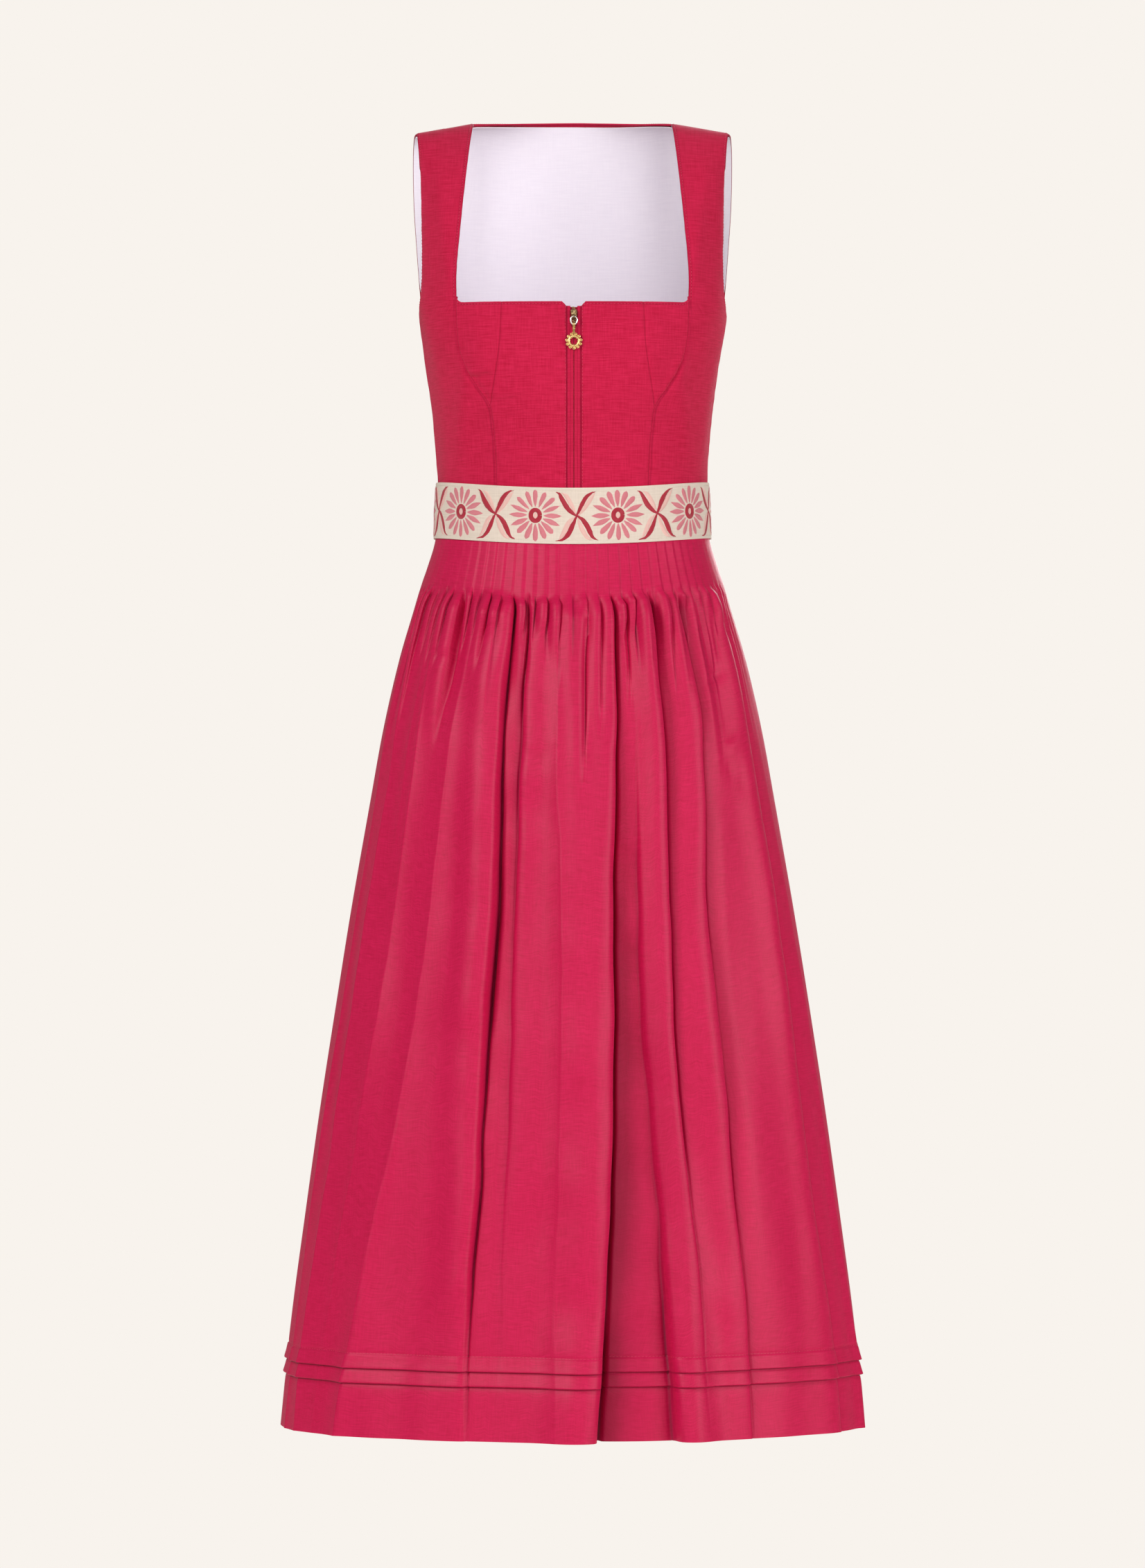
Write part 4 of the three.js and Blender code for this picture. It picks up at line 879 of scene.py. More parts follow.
# Folds: place at the top, height at three levels, reach, edge, side that drops (0 is a ridge), overhang, slot depth
folds = {
    "front": [(-0.83, 1.5, 2.5, 2, 9, 1.2, 0, 0, 0), (-0.74, 3, 4.5, 4, 22, 2.2, 0, 0, 0),
              (-0.6, 4, 3, 1, 16, 2.5, 0, 0, 0), (-0.44, 3.5, 5, 7.5, 20, 2.4, 0, 0, 0),
              (-0.35, 3, 0, -3, 16, 7, 0, 0, 0), (-0.27, 6, 9, 1, 30, 2.1, 1, 3.6, 8),
              (-0.186, 4, 1, 0, 12, 2.4, -1, 2, 3), (-0.05, 3.5, 4.5, 1, 16, 1.4, 0, 0, 0),
              (0.072, -4, -2, 0, 12, 8, 0, 0, 0), (0.158, 6, 11, 12, 46, 2.3, 1, 4.2, 12),
              (0.25, 0, 4, 9, 34, 2.6, -1, 2.5, 3), (0.34, 6, 4.5, 0, 18, 1.9, 1, 3, 6),
              (0.5, 6, 6.5, 1, 26, 2, 1, 3, 6), (0.76, 5.5, 5, 2, 24, 2.1, 1, 3, 5),
              (0.9, 0, 2, 7, 12, 2, 1, 2.4, 5)],
    "back": [(-0.79, 4, 4, 4, 24, 1.6, 0, 0, 0), (-0.6, 5, 7, 4, 26, 2.2, -1, 3.2, 6),
             (-0.33, 6, 9, 8, 34, 2.3, 1, 4, 9), (-0.18, -3, -2, 0, 14, 8, 0, 0, 0),
             (-0.06, 4, 5, 6, 26, 14, 0, 0, 0), (0.14, 6, 10, 9, 38, 2.3, -1, 4, 9),
             (0.28, 4, 2, 0, 14, 2, 0, 0, 0), (0.4, 5, 6, 7, 26, 2.2, 1, 3.2, 6),
             (0.68, 6, 7, 3, 28, 2.2, 1, 3.2, 6)],
}
# Short creases: place at the top, from and to height, height, reach, edge, side that drops
creases = {
    "front": [(-0.52, -412, -570, 5, 16, 3, 1), (-0.645, -425, -700, 2.2, 12, 2.2, 0),
              (-0.19, -412, -545, 4, 10, 3, 1), (0.034, -416, -640, 3.2, 12, 3, 1), (0.1, -412, -560, 3, 9, 3, 1),
              (0.42, -414, -520, 2.4, 9, 3, 1), (0.6, -412, -600, 3, 12, 3, 1), (0.66, -414, -500, 2.2, 9, 3, 1),
              (0.85, -412, -560, 2.4, 9, 3, 1), (-0.82, -412, -620, 2.2, 10, 2.4, 0),
              (-0.38, -414, -500, 2.6, 9, 3, 1), (-0.13, -414, -690, 1.8, 12, 3, 0),
              (0.22, -414, -540, 2.6, 10, 3, 1), (-0.335, -600, -1000, 1.6, 18, 4, 0),
              (0.2, -640, -1120, -2.6, 20, 8, 0), (0.56, -600, -1090, 1.8, 20, 4, 0),
              (-0.15, -620, -1090, 1.8, 24, 5, 0)],
    "back": [(-0.5, -412, -580, 4, 14, 3, 1), (-0.25, -414, -560, 3, 10, 3, -1), (0.05, -412, -600, 3, 10, 3, 1),
             (0.33, -414, -540, 3, 10, 3, 1), (0.55, -412, -620, 3, 12, 3, 1), (0.82, -414, -560, 2.4, 10, 3, 0),
             (-0.7, -414, -520, 2.6, 9, 3, 1), (-0.45, -620, -1050, 1.8, 18, 4, 0),
             (0.3, -600, -1080, 1.8, 20, 4, 0)],
}
# Dents where the cloth has been handled: place, height, half width and half height in mm, depth, slant
dents = {
    "front": [(0.645, -560, 13, 4, 2.6, 0.5), (0.66, -587, 11, 4, -2.4, -0.7), (0.63, -496, 12, 4, -2.2, 0.4),
              (-0.56, -478, 12, 4, -2.2, -0.2), (-0.2, -590, 26, 18, 1.6, 0.3), (0.2, -720, 20, 26, 2.0, 0.2),
              (-0.12, -568, 16, 6, -1.6, 0.2), (0.32, -862, 12, 4, -1.8, 0.1), (-0.3, -1040, 16, 12, 2.2, 0.7),
              (-0.12, -990, 26, 30, -1.8, 0.5), (-0.56, -1010, 30, 34, 1.8, -0.4), (0.55, -900, 26, 60, 1.8, 0.1),
              (0.7, -1000, 24, 40, -1.6, 0.3), (-0.66, -800, 24, 50, 1.6, 0.0), (0.4, -1040, 18, 20, 1.8, -0.5),
              (-0.4, -700, 20, 60, -1.4, 0.2), (0.05, -820, 18, 50, 1.6, 0.0), (0.85, -780, 16, 50, 1.6, 0.0)],
    "back": [(-0.4, -520, 13, 4, -2.2, 0.4), (0.45, -600, 13, 4, 2.2, -0.4), (0.1, -700, 24, 40, 1.8, 0.2),
             (-0.5, -900, 26, 50, 1.8, 0.1), (0.5, -1000, 24, 36, -1.6, 0.3), (-0.15, -1030, 18, 16, 2.0, 0.5),
             (0.75, -820, 20, 50, 1.6, 0.0), (-0.75, -700, 20, 50, -1.5, 0.1)],
}
foldLevels = {"start": -411, "full": -436, "top": -470, "mid": -800, "hem": hemZ}
pleats = {"count": 38, "faint": 0.12, "height": 1.25, "rise": 0.9, "startZ": -372, "fullZ": -377, "open": 3.6,
          "lean": 0.9, "offsets": [0, 0.2, 0.42, 0.64, 0.82, 0.92], "faintFrom": (0.36, 0.62), "sizes": (0.35, 1.5),
          "sideFrom": (0.72, 0.95), "sideLess": 0.6, "startSpread": 2.5, "ends": (45, 170)}
# Humps across one opened pleat: where, half width, height. The last places painted shade where the pleat opens, not a
# hump in the cloth
pleatHumps = {"bulge": (0.7, 0.24, 1), "hollow": (0.06, 0.13, -0.75), "lean": (0.84, 0.14, 1),
              "paintedShade": (0.05, 0.12, 1)}
tucks = {"z": [-1075, -1094, -1096.0, -1096.6, -1097.4, -1100, -1104, -1108.6, -1109.4, -1109.8, -1110.4, -1111.4,
               -1114,
               -1118, -1121.6, -1122.4, -1122.9, -1123.5, -1125, -1130],
         "out": [0, 0.1, -0.1, -0.5, 0.8, 1.2, 1.7, 2.6, 2.6, 1.6, -0.5, 0.2, 0.9, 1.5, 2.4, 2.4, 1.2, -0.9, -0.3, 0],
         "under": [-1110.5, -1123.6], "underTall": 0.9, "stitchZ": -1096.6}
skirt = {"cloth": 1.1, "sideFade": 8, "ripple": 1.8, "softFold": 2.5, "wander": 3.4, "swell": 0.5, "creaseLean": 0.55,
         "creaseSlot": 0.9, "unitArc": 287.0, "columnGap": 0.0017, "softEdge": 4,
         "besideFold": [-7, -4.6, -3, -1.8, -0.8, 0.2, 1.2, 2.2, 3.1, 4, 4.9, 5.8, 7.4],
         "besideRidge": [-3, -1.4, 0, 1.4, 3], "underBack": 1.2, "narrowed": 0.997}
# A fold's shape: a ridge with a pinched top, or a crest that drops over a slot
foldForm = {"pinch": 0.14, "pinchReach": 1.3, "slope": 1.5, "crest": 1.15, "crestAt": 0.32, "crestReach": 0.62,
            "slotAt": 0.3, "slotReach": (1.0, 1.9)}
# Painted shade: how dark the slots are, and how wide: narrow, or wide low down in the folds that reach this far; and
# how dark the painted shade is where the pleats open and under the tucks
paintedShades = {"slot": 2.5, "pocket": 24, "pocketReach": (34, 46), "pocketZ": (-640, -900), "notchPaintedShade": 0.9, "tuck": 0.8}


def girthAngle(place):
    return math.pi / 2 * place - 0.065 * np.sin(math.pi * place)


# Points of the plain form with the level direction straight out of it
def girthPoints(table, half, place, z):
    place, z = np.broadcast_arrays(np.asarray(place, float), np.asarray(z, float))
    power, wide, deep = (readTable(table, column, z) for column in ("power", "half", half))
    facing = -1 if half == "front" else 1

    def at(share):
        angle = girthAngle(np.clip(share, -1, 1))
        return (wide * np.sign(angle) * np.abs(np.sin(angle)) ** (2 / power),
                facing * deep * np.maximum(np.cos(angle), 0) ** (2 / power))

    x, y = at(place)
    (aheadX, aheadY), (behindX, behindY) = at(place + 0.003), at(place - 0.003)
    along = np.stack([aheadX - behindX, aheadY - behindY], axis=-1)
    along /= np.linalg.norm(along, axis=-1, keepdims=True)
    out = np.stack([-facing * along[..., 1], facing * along[..., 0], np.zeros_like(x)], axis=-1)
    if half == "front":
        z = z - centreDip(table, z, x)
    return np.stack([x, y, z], axis=-1), out


def betweenLevels(top, mid, hem, z):
    low = np.clip((z - foldLevels["mid"]) / (foldLevels["hem"] - foldLevels["mid"]), 0, 1)
    return np.where(z > foldLevels["mid"], mix(top, mid, smooth(foldLevels["top"], foldLevels["mid"], z)),
                    mix(mid, hem, low))


# Where a fold line has drifted to at each height
def foldPlace(half, at, z):
    lines = foldLines[half]
    i = np.clip(np.searchsorted(lines["top"], at, side="right") - 1, 0, len(lines["top"]) - 2)
    top, mid, hem = (np.array(lines[level]) for level in ("top", "mid", "hem"))
    share = (at - top[i]) / (top[i + 1] - top[i])
    return mix(betweenLevels(top[i], mid[i], hem[i], z), betweenLevels(top[i + 1], mid[i + 1], hem[i + 1], z), share)


# Slow unevenness down a fold, the same across a row
def wander(z, salt, amount):
    line = np.array([noise.noise(Vector((h * 0.0085, salt, 0.3))) + 0.4 * noise.noise(Vector((h * 0.021, salt, 5.1)))
                     for h in z[:, 0]])
    return amount * line[:, None]


# One fold's push outwards and sideways in mm, at a distance from its line
def foldShape(away, high, reach, edge, drop, overhang, slot):
    if drop == 0:
        far = np.sqrt(away ** 2 + edge ** 2) - edge
        crest = (foldForm["pinch"] if edge < skirt["softEdge"] else 0) * np.exp(-(away / foldForm["pinchReach"]) ** 2)
        return high * (np.exp(-(far / reach) * foldForm["slope"]) + crest), 0 * away
    below = drop * away
    past = (1 + np.tanh(below / edge)) / 2
    crest = np.exp(-((below + reach * foldForm["crestAt"]) / (reach * foldForm["crestReach"])) ** 2)
    push = high * (foldForm["crest"] * crest * (1 - past) - past * np.exp(-np.maximum(below, 0) / reach))
    slotReach = mix(*foldForm["slotReach"], np.clip(slot / 10, 0, 1))
    push = push - slot * np.exp(-((below - overhang - foldForm["slotAt"]) / slotReach) ** 2)
    return push, drop * overhang * np.exp(-((below + edge * 0.6) / (edge * 1.3)) ** 2)


def pleatShape(half, at, z):
    def hump(kind):
        middle, wide, high = pleatHumps[kind]
        return high * np.exp(-((part - middle) / wide) ** 2)

    salt = 1.0 if half == "front" else 5.0
    place = np.clip((at + 1) / 2 * pleats["count"], 0, pleats["count"] - 1e-6)
    number = np.floor(place)
    part = place - number
    rise = pleats["rise"]
    saw = np.where(part < rise, part / rise, (1 - part) / (1 - rise))
    faint = mix(1, pleats["faint"], smooth(*pleats["faintFrom"], np.where(at < 0, -at + 0.06, at * 0.8)))
    size = mix(*pleats["sizes"], chance(number, salt))
    size = size * (1 - pleats["sideLess"] * smooth(*pleats["sideFrom"], np.abs(at)))
    starts = yokeEndZ + mix(-pleats["startSpread"], pleats["startSpread"], chance(number, salt + 2))
    ends = starts - mix(*pleats["ends"], chance(number, salt + 1) ** 2)
    sewn = saw * pleats["height"] * faint * smooth(pleats["startZ"], pleats["fullZ"], z)
    sewn = sewn * (1 - smooth(yokeEndZ - 6, yokeEndZ - 60, z))
    begun = smooth(starts, starts - 9, z) * (1 - smooth(starts - 18, ends, z))
    opened = pleats["open"] * size * begun
    push = sewn + opened * (hump("bulge") + hump("hollow"))
    # The third value is the share of painted shade where the pleat opens
    return push, opened * pleats["lean"] * hump("lean"), np.minimum(size, 1) * begun * hump("paintedShade")


def skirtPoints(half, at, z):
    at, z = np.broadcast_arrays(at, z)
    facing = -1 if half == "front" else 1
    place = foldPlace(half, at, z)
    points, out = girthPoints(skirtGirth, half, place, z)
    halfArc = math.pi / 4 * (readTable(skirtGirth, "half", z) + readTable(skirtGirth, half, z))
    along = np.stack([facing * out[..., 1], -facing * out[..., 0], np.zeros_like(z)], axis=-1)
    sides = 1 - np.abs(at) ** skirt["sideFade"]
    begun = smooth(foldLevels["start"], foldLevels["full"], z) * sides
    push, over, paintedShade = np.zeros_like(z), np.zeros_like(z), np.zeros_like(z)
    salt = 2 if half == "front" else 8
    for foldAt, top, mid, hem, reach, edge, drop, overhang, slot in folds[half]:
        away = (place - foldPlace(half, foldAt, z)) * halfArc + wander(z, foldAt * 9 + salt, skirt["wander"]) * begun
        high = betweenLevels(top, mid, hem, z) * begun * (1 + wander(z, foldAt * 7 + salt, skirt["swell"]))
        share = np.clip(np.abs(high) / max(abs(top), abs(mid), abs(hem)), 0, 1)
        lift, lean = foldShape(away, high, reach, edge, drop, overhang * share, slot * share)
        push, over = push + lift, over + lean
        # Painted shade in the slot past each deep fold, widening low down in the widest folds
        if slot:
            past = drop * away - overhang * share
            deep = smooth(*paintedShades["pocketReach"], reach) * smooth(*paintedShades["pocketZ"], z)
            pocket = mix(paintedShades["slot"], paintedShades["pocket"], deep)
            paintedShade = np.maximum(paintedShade, share * smooth(-2.5, 0.3, past) * np.exp(-np.maximum(past - 0.8, 0) / pocket))
    for foldAt, start, end, high, reach, edge, drop in creases[half]:
        away = (place - foldPlace(half, foldAt, z)) * halfArc
        near = smooth(start, start - 22, z) * (1 - smooth(mix(start, end, 0.45), end, z)) * sides
        lift, lean = foldShape(away, high * near, reach, edge, drop, skirt["creaseLean"] * abs(high) * near,
                               skirt["creaseSlot"] * abs(high) * near)
        push, over = push + lift, over + lean
    for foldAt, middle, wide, tall, deep, slant in dents[half]:
        away = (place - foldPlace(half, foldAt, z)) * halfArc
        below = z - middle - slant * away
        push = push + deep * np.exp(-(away / wide) ** 2 - (below / tall) ** 2)
    sewn, lean, notchPaintedShade = pleatShape(half, at, z)
    push, over = push + sewn * sides, over + lean * sides
    # Painted shade where the pleats open and just under each tuck's edge
    under = sum(np.exp(-((z - height) / tucks["underTall"]) ** 2) for height in tucks["under"])
    paintedShade = np.maximum(np.maximum(paintedShade, paintedShades["notchPaintedShade"] * notchPaintedShade), paintedShades["tuck"] * under)
    tuck = np.interp(-z, -np.array(tucks["z"]), tucks["out"])
    wave = ripple(points, 0.011, (1.6, 1, 0.45), 3 if half == "front" else 19)
    soft = ripple(points, 0.03, (1, 1, 0.1), 43 if half == "front" else 59)
    push = push + (skirt["ripple"] * wave + skirt["softFold"] * soft) * smooth(-430, -520, z) * sides + tuck
    return points + out * push[..., None] + along * over[..., None], out, paintedShade


# Heights of the rows: close in the sewn pleats and at the tucks
skirtRows = np.concatenate([
    [-350.3, -360, -368, -371.5, -374, -376, -378, -384, -391, -398, -404, -408],
    np.arange(-411, -441, -2.0), np.arange(-441, -560, -5.0), np.arange(-560, -1072, -10.5),
    [-1075, -1082, -1089, -1094, -1095.4, -1096.6, -1097.8, -1099, -1101.5, -1104, -1106.5, -1108.6, -1109.1, -1109.4,
     -1109.6, -1109.9, -1110.4, -1111.4, -1113, -1116, -1119, -1121.6, -1122.1, -1122.5, -1122.8, -1123.1, -1123.5,
     -1124.5, -1128, -1134, -1141, -1148, -1155, -1162, -1167.5, -1169.6, hemZ]])


# Columns at every pleat, and closer ones beside the deep folds
def skirtColumns(half):
    places = [-1 + 2 * (i + part) / pleats["count"] for i in range(pleats["count"]) for part in pleats["offsets"]]
    for fold in folds[half]:
        drop, beside = fold[6] or 1, skirt["besideFold"] if fold[6] else skirt["besideRidge"]
        if fold[5] < skirt["softEdge"]:
            arc = drop * skirt["unitArc"]
            places = [p for p in places if not beside[0] - 1 < (p - fold[0]) * arc < beside[-1] + 1]
            places += [fold[0] + drop * off / skirt["unitArc"] for off in beside]
    kept = [-1.0]
    for place in sorted(places)[1:] + [1.0]:
        if place - kept[-1] > skirt["columnGap"]:
            kept.append(place)
    kept[-1] = 1.0
    return np.array(kept)


for half in ("front", "back"):
    points, out, paintedShade = skirtPoints(half, skirtColumns(half)[None, :], skirtRows[:, None])
    if half == "back":
        points, out, paintedShade = points[:, ::-1], out[:, ::-1], paintedShade[:, ::-1]
    else:  # laid under the back at the side seams
        points[:, [0, -1], 1] += skirt["underBack"]
        points[:, [0, -1], 0] *= skirt["narrowed"]
    obj = clothSheet("skirt" + half.capitalize(), points, out, satin, skirt["cloth"], satinInside, dark=paintedShade)
    finish(obj, "garment", ["yoke_" + half, "skirt_" + half])
    sheets[obj.name] = (obj, points, out)
print("skirt made")

# Waist ribbon, with its flowers charted on the flat: s runs round from the centre front, t up from the middle
ribbon = {"topZ": -324.0, "tall": 50.2, "stand": 2.0, "cloth": 1.2, "edge": 2.9, "repeat": 73.0, "start": 3.7,
          "stitchPitch": 2.6, "motifReach": 24.5, "joinGap": 0.4, "groove": 0.22, "grooveReach": 0.5, "rolled": 0.3,
          "rollReach": 0.6, "wave": 0.22}
ribbonMiddle = ribbon["topZ"] - ribbon["tall"] / 2


def waistPoints(half, place, z):
    above, outAbove = girthPoints(bodiceGirth, half, place, z)
    below, outBelow = girthPoints(skirtGirth, half, place, z)
    high = (np.broadcast_to(z, above.shape[:-1]) > waistZ)[..., None]
    return np.where(high, above, below), np.where(high, outAbove, outBelow)


fine = np.linspace(-1, 1, 401)
arcs = {}
for half in ("front", "back"):
    length = runAlong(waistPoints(half, fine, ribbonMiddle)[0][:, :2])
    arcs[half] = length - length[200]
frontReach, backReach = arcs["front"][-1], arcs["back"][-1]


# A point on the ribbon's face, lifted off it, for flat places s and t in mm
def ribbonPlace(s, t, lift):
    s, t = np.broadcast_arrays(np.asarray(s, float), np.asarray(t, float))
    z = ribbonMiddle + t
    frontPlace = np.interp(s, arcs["front"], fine)
    behind = np.where(s > 0, frontReach + backReach - s, -(frontReach + backReach) - s)
    backPlace = np.interp(behind, arcs["back"], fine)
    front, outFront = waistPoints("front", frontPlace, z)
    back, outBack = waistPoints("back", backPlace, z)
    ahead = (np.abs(s) <= frontReach)[..., None]
    out = np.where(ahead, outFront, outBack)
    return np.where(ahead, front, back) + out * (ribbon["stand"] + lift)[..., None], out


ribbonHeights = ribbon["topZ"] - ribbon["tall"] * edgedShares(ribbon["tall"], 18, (0, 0.3, 0.8, 1.5, 2.3, 2.9, 3.6))
for half in ("front", "back"):
    place, z = np.meshgrid(np.linspace(-1, 1, 181), ribbonHeights)
    points, out = waistPoints(half, place, z)
    edge = np.minimum(ribbon["topZ"] - z, z - (ribbon["topZ"] - ribbon["tall"]))
    relief = ribbon["stand"] - ribbon["rolled"] * np.exp(-(edge / ribbon["rollReach"]) ** 2)
    relief = relief - ribbon["groove"] * np.exp(-((edge - ribbon["edge"]) / ribbon["grooveReach"]) ** 2)
    relief = relief + ribbon["wave"] * ripple(points, 0.05, (1, 1, 1), 5)
    points = points + out * relief[..., None]
    if half == "back":
        points, out = points[:, ::-1], out[:, ::-1]
    obj = clothSheet("waistRibbon" + half.capitalize(), points, out, ribbonCotton, ribbon["cloth"])
    finish(obj, "garment", ["waist_ribbon_" + half])
    sheets[obj.name] = (obj, points, out)


# Smooth run through charted points
def throughPoints(chart, count):
    chart = np.array(chart, float)
    ends = np.vstack([2 * chart[0] - chart[1], chart, 2 * chart[-1] - chart[-2]])
    spots = np.linspace(0, len(chart) - 1, count)
    i = np.minimum(spots.astype(int), len(chart) - 2)
    t = (spots - i)[:, None]
    return hermite(ends[i + 1], (ends[i + 2] - ends[i]) / 2, ends[i + 2], (ends[i + 3] - ends[i + 1]) / 2, t)


# One embroidered shape: a domed strip along charted (s, t, half width) points round a place s on the ribbon
def stitchedShape(name, chart, middleS, steps=10, dome=0.55, ragged=0.0):
    bm, uvLayer = stitches[name], layers[name]
    run = throughPoints(chart, steps + 1)
    along = np.gradient(run[:, :2], axis=0)
    along /= np.maximum(np.linalg.norm(along, axis=1, keepdims=True), 1e-6)
    across = np.stack([-along[:, 1], along[:, 0]], axis=1)
    lengths = runAlong(run[:, :2])
    made = bmesh.ops.create_grid(bm, x_segments=steps, y_segments=4, size=0.5)["verts"]
    low = min(v.co.x for v in made), min(v.co.y for v in made)
    span = max(v.co.x for v in made) - low[0], max(v.co.y for v in made) - low[1]
    index = np.array([round((v.co.x - low[0]) / span[0] * steps) for v in made])
    offset = np.array([(v.co.y - low[1]) / span[1] * 2 - 1 for v in made])
    wide = np.maximum(run[index, 2], 0.05)
    wide = wide + ragged * (chance(index * 3.1 + np.sign(offset) * 1.7, middleS * 0.01) - 0.5)
    flat = run[index, :2] + across[index] * (offset * wide)[:, None] + np.array([middleS, 0])
    lift = dome * np.sqrt(np.maximum(1 - offset ** 2, 0)) * np.clip(wide / 1.2, 0.25, 1) - 0.08
    places = ribbonPlace(flat[:, 0], flat[:, 1], lift)[0] * mm
    spots = {}
    for vert, place, length, side in zip(made, places, lengths[index], offset * wide):
        vert.co = place
        spots[vert] = (length * mm, side * mm)
    faces = {face for vert in made for face in vert.link_faces}
    for face in faces:
        for loop in face.loops:
            loop[uvLayer].uv = spots[loop.vert]
    middle = next(iter(faces))
    middle.normal_update()
    out = ribbonPlace(np.array([middleS]), np.array([0.0]), np.array([0.0]))[1][0]
    if middle.normal.dot(Vector(out)) < 0:
        bmesh.ops.reverse_faces(bm, faces=list(faces))


petalChart = [(7.7, 0.4), (10.5, 1.35), (14.5, 2.2), (18.8, 2.55), (21.4, 1.9), (22.9, 0.3)]
pointedChart = [(7.6, 0.4), (10.5, 1.5), (14.5, 2.35), (17.8, 2.2), (21.2, 1.2), (24.0, 0.15)]
crimsonArms = [
    [(-18.6, 21.2, 0.2), (-15.6, 19.8, 1.1), (-13.0, 15.2, 2.1), (-9.6, 9.0, 2.5), (-5.4, 3.9, 2.0),
     (0.2, -0.4, 0.7)],
    [(16.8, 21.6, 0.2), (12.4, 20.2, 1.1), (8.0, 16.2, 2.1), (5.0, 11.0, 2.3), (2.4, 5.2, 1.6), (-0.2, -0.4, 0.7)],
    [(0.2, 0.4, 0.7), (-2.3, -5.2, 1.5), (-4.6, -11.2, 2.3), (-7.6, -17.0, 2.2), (-12.2, -21.4, 1.1),
     (-18.4, -22.8, 0.2)],
    [(-0.2, 0.4, 0.7), (4.6, -3.1, 1.7), (8.4, -7.8, 2.3), (11.4, -14.2, 2.2), (14.2, -19.6, 1.2),
     (18.6, -22.0, 0.2)],
]
paleArms = [
    [(-13.4, 20.6, 0.3), (-9.4, 18.0, 1.8), (-5.9, 12.2, 2.3), (-3.0, 6.6, 1.7), (-1.0, 1.6, 0.4)],
    [(16.4, 20.6, 0.3), (12.9, 16.2, 1.9), (9.4, 10.4, 2.3), (5.6, 5.0, 1.8), (1.8, 0.6, 0.4)],
    [(-1.9, -0.8, 0.4), (-6.4, -5.0, 1.8), (-9.2, -10.6, 2.3), (-11.9, -16.4, 1.9), (-15.4, -21.6, 0.3)],
    [(0.9, -2.0, 0.4), (2.9, -8.2, 1.7), (6.0, -14.8, 2.2), (9.4, -19.6, 1.7), (13.6, -21.6, 0.3)],
]
daisy = {"petals": 16, "turned": 0.12, "stretched": 0.04, "ringWide": 4.0, "ringTall": 4.9, "ringHalf": 2.15}
pupilChart = [(0, -2.9, 0.3), (0, -1.2, 1.7), (0, 1.2, 1.7), (0, 2.9, 0.3)]
threads = {"petalStitches": pinkThread, "crimsonStitches": crimsonThread, "paleStitches": paleThread}
stitches = {name: bmesh.new() for name in threads}
layers = {name: bm.loops.layers.uv.new("cloth") for name, bm in stitches.items()}
halfway = frontReach + backReach
for step in range(-10, 11):
    s = ribbon["start"] + step * ribbon["repeat"] / 2
    if abs(s) - ribbon["motifReach"] > halfway:
        continue
    before = {name: set(bm.verts) for name, bm in stitches.items()}
    if step % 2:  # daisy
        for i in range(daisy["petals"]):
            angle = (i + daisy["turned"] * (chance(i, s) - 0.5)) * 2 * math.pi / daisy["petals"]
            stretch = 1 + daisy["stretched"] * (chance(i, s + 2) - 0.5)
            chart = pointedChart if i % 8 in (0, 7, 1) else petalChart
            petal = [(r * stretch * math.cos(angle), r * stretch * math.sin(angle), w) for r, w in chart]
            stitchedShape("petalStitches", petal, s, ragged=0.3)
        circle = [(daisy["ringWide"] * math.cos(a), daisy["ringTall"] * math.sin(a), daisy["ringHalf"])
                  for a in np.linspace(0, 2 * math.pi, daisy["petals"] + 1)]
        stitchedShape("crimsonStitches", circle, s, steps=32, dome=0.75)
        stitchedShape("paleStitches", pupilChart, s, steps=6, dome=0.35)
    else:  # crossed leaves
        for chart in paleArms:
            stitchedShape("paleStitches", chart, s, steps=14, ragged=0.35)
        for chart in crimsonArms:
            stitchedShape("crimsonStitches", chart, s, steps=16, dome=0.65, ragged=0.45)
    if abs(s) + ribbon["motifReach"] > halfway:  # cut off at the ribbon's join at the centre back
        side = math.copysign(1, s)
        for name, bm in stitches.items():
            verts = [vert for vert in bm.verts if vert not in before[name]]
            geom = verts + list({item for vert in verts for item in (*vert.link_edges, *vert.link_faces)})
            bmesh.ops.bisect_plane(bm, geom=geom, plane_co=(side * ribbon["joinGap"] * mm, 0, 0),
                                   plane_no=(-side, 0, 0), clear_outer=True)
for name, bm in stitches.items():
    finish(makeObject(name, bm, threads[name]), "garment")
print("ribbon and flowers made")


# The point of a line at a distance along it, given the distances of its own points
def between(at, run, line):
    return [np.interp(at, run, line[:, k]) for k in range(3)]


# Running stitches: small rounded threads laid along a line in mm
def stitchRow(bm, line, outs, pitch=3.0, length=2.0, wide=0.26, high=0.2, lift=0.1):
    run = runAlong(line)
    for at in np.arange(pitch / 2, run[-1] - length / 2, pitch):
        place, ahead = Vector(between(at, run, line)), Vector(between(at + 0.6, run, line))
        out = Vector(between(at, run, outs)).normalized()
        along = (ahead - place).normalized()
        turn = Matrix((along, out.cross(along).normalized(), out)).transposed().to_4x4()
        size = Matrix.Diagonal((length / 2 * mm, wide * mm, high * mm, 1))
        bmesh.ops.create_icosphere(bm, subdivisions=1, radius=1.0,
                                   matrix=Matrix.Translation((place + out * lift) * mm) @ turn @ size)


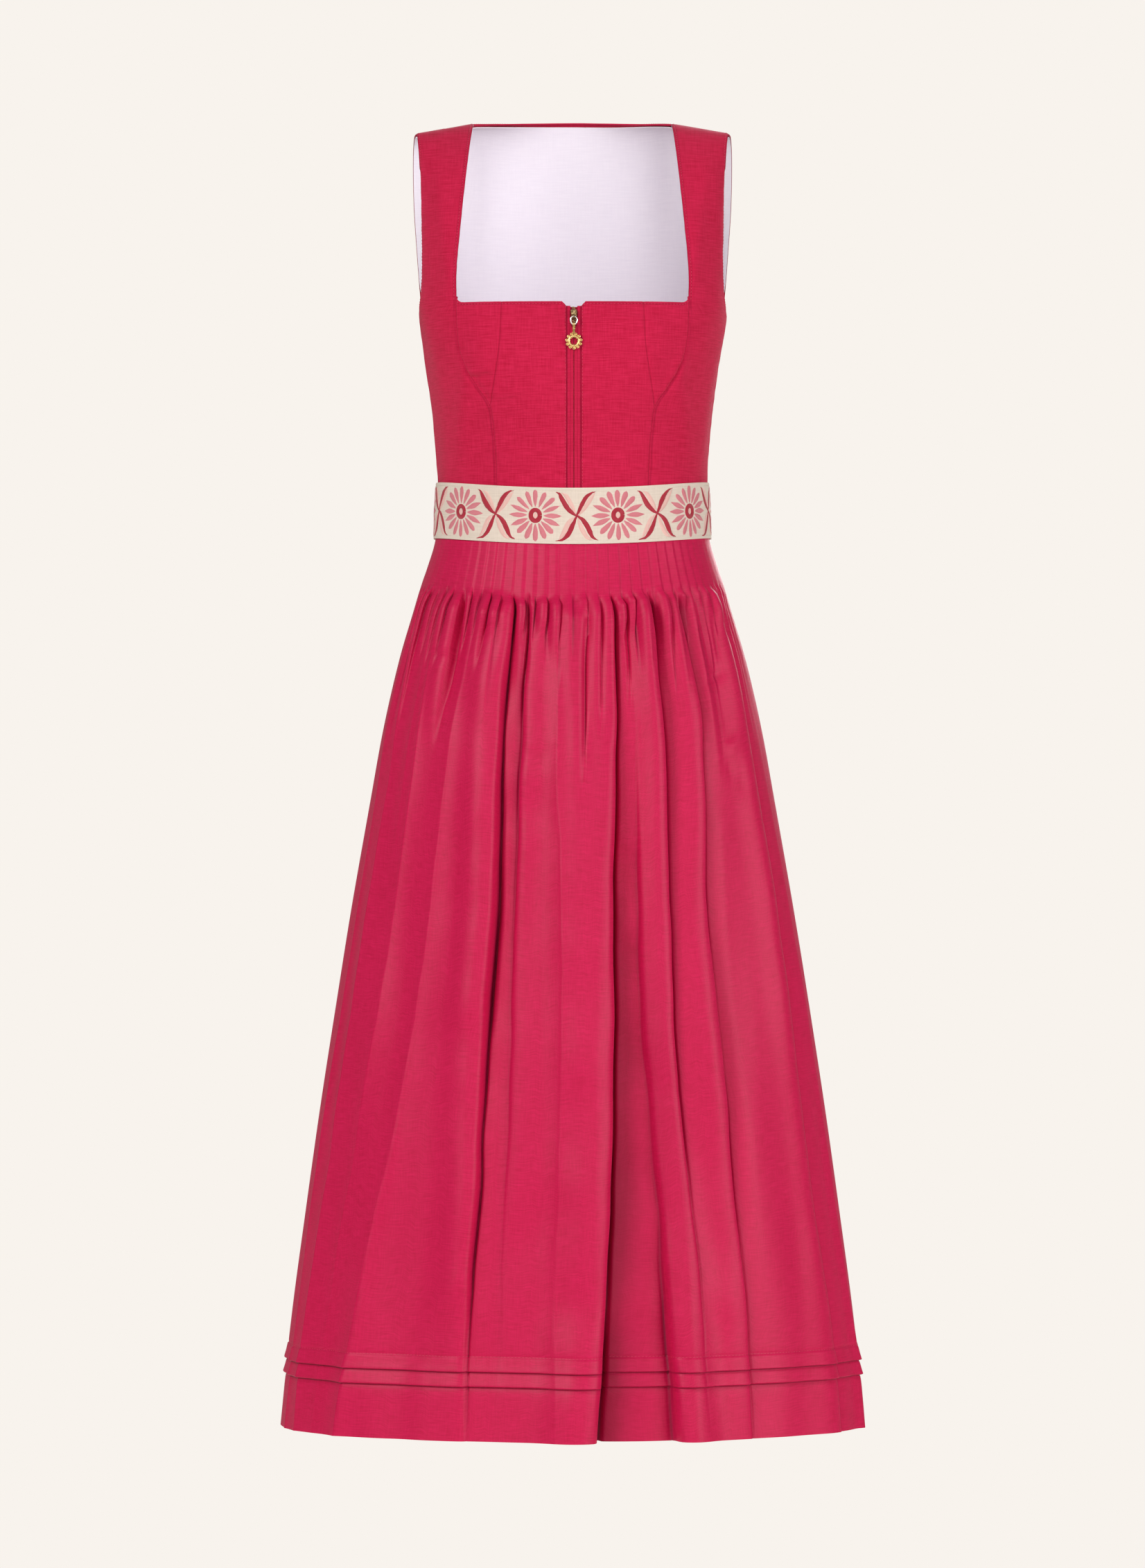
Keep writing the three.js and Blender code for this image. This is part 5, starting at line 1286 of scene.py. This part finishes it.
# The line in a sheet at a distance from its left, right or top edge, over some of its rows or columns
def sheetLine(piece, edge, distance, first=0.0, last=1.0):
    points, outs = sheets[piece][1:]
    if edge == "top":
        points, outs = points.transpose(1, 0, 2), outs.transpose(1, 0, 2)
    if edge == "right":
        points, outs = points[:, ::-1], outs[:, ::-1]
    rows = range(int(first * (points.shape[0] - 1)), int(last * (points.shape[0] - 1)) + 1)
    runs = [runAlong(points[j]) for j in rows]
    return (np.array([between(distance, run, points[j]) for j, run in zip(rows, runs)]),
            np.array([between(distance, run, outs[j]) for j, run in zip(rows, runs)]))


strapShare = (strapRows - 1) / (len(levels) - 1)
groove = seams["grooveAt"]
rows = [("centreBack", "top", groove, 0.12, 0.88)]
for word, inner, outer in (("Left", "right", "left"), ("Right", "left", "right")):
    rows += [("sideFront" + word, inner, groove, 0, strapShare), ("sideFront" + word, outer, groove, 0, strapShare),
             ("sideBack" + word, inner, groove, 0, strapShare), ("centreFront" + word, "top", groove),
             ("bustPanel" + word, "top", groove), ("centreFront" + word, inner, lip["ridgeAt"], 0.05, 0.98)]
red, cream, hem = bmesh.new(), bmesh.new(), bmesh.new()
for row in rows:
    stitchRow(red, *sheetLine(*row))
for t in (ribbon["tall"] / 2 - ribbon["edge"], ribbon["edge"] - ribbon["tall"] / 2):
    s = np.linspace(-halfway, halfway, 900)
    stitchRow(cream, *ribbonPlace(s, t, np.full(s.shape, -0.15)), ribbon["stitchPitch"], 1.3, 0.28, 0.16)
for name in ("skirtFront", "skirtBack"):
    row = int(np.argmin(np.abs(skirtRows - tucks["stitchZ"])))
    stitchRow(hem, sheets[name][1][row], sheets[name][2][row], 3.2, 2.2, 0.2, 0.14, 0.05)
for name, bm, material, slotName in (
        ("bodiceStitches", red, redThread, "bodice_linen"), ("ribbonStitches", cream, creamThread, "ribbon_cotton"),
        ("tuckStitches", hem, redThread, "skirt_satin")):
    finish(makeObject(name, bm, material), "garment")
print("stitches made")

# Pale floor well below the dress
bm = bmesh.new()
bmesh.ops.create_circle(bm, cap_ends=True, segments=96, radius=studio["floorRadius"],
                        matrix=Matrix.Translation((0, 0, studio["floorZ"])))
floor = makeObject("studioFloor", bm, paper, False)
scene.collection.objects.link(floor)
print("studio made")
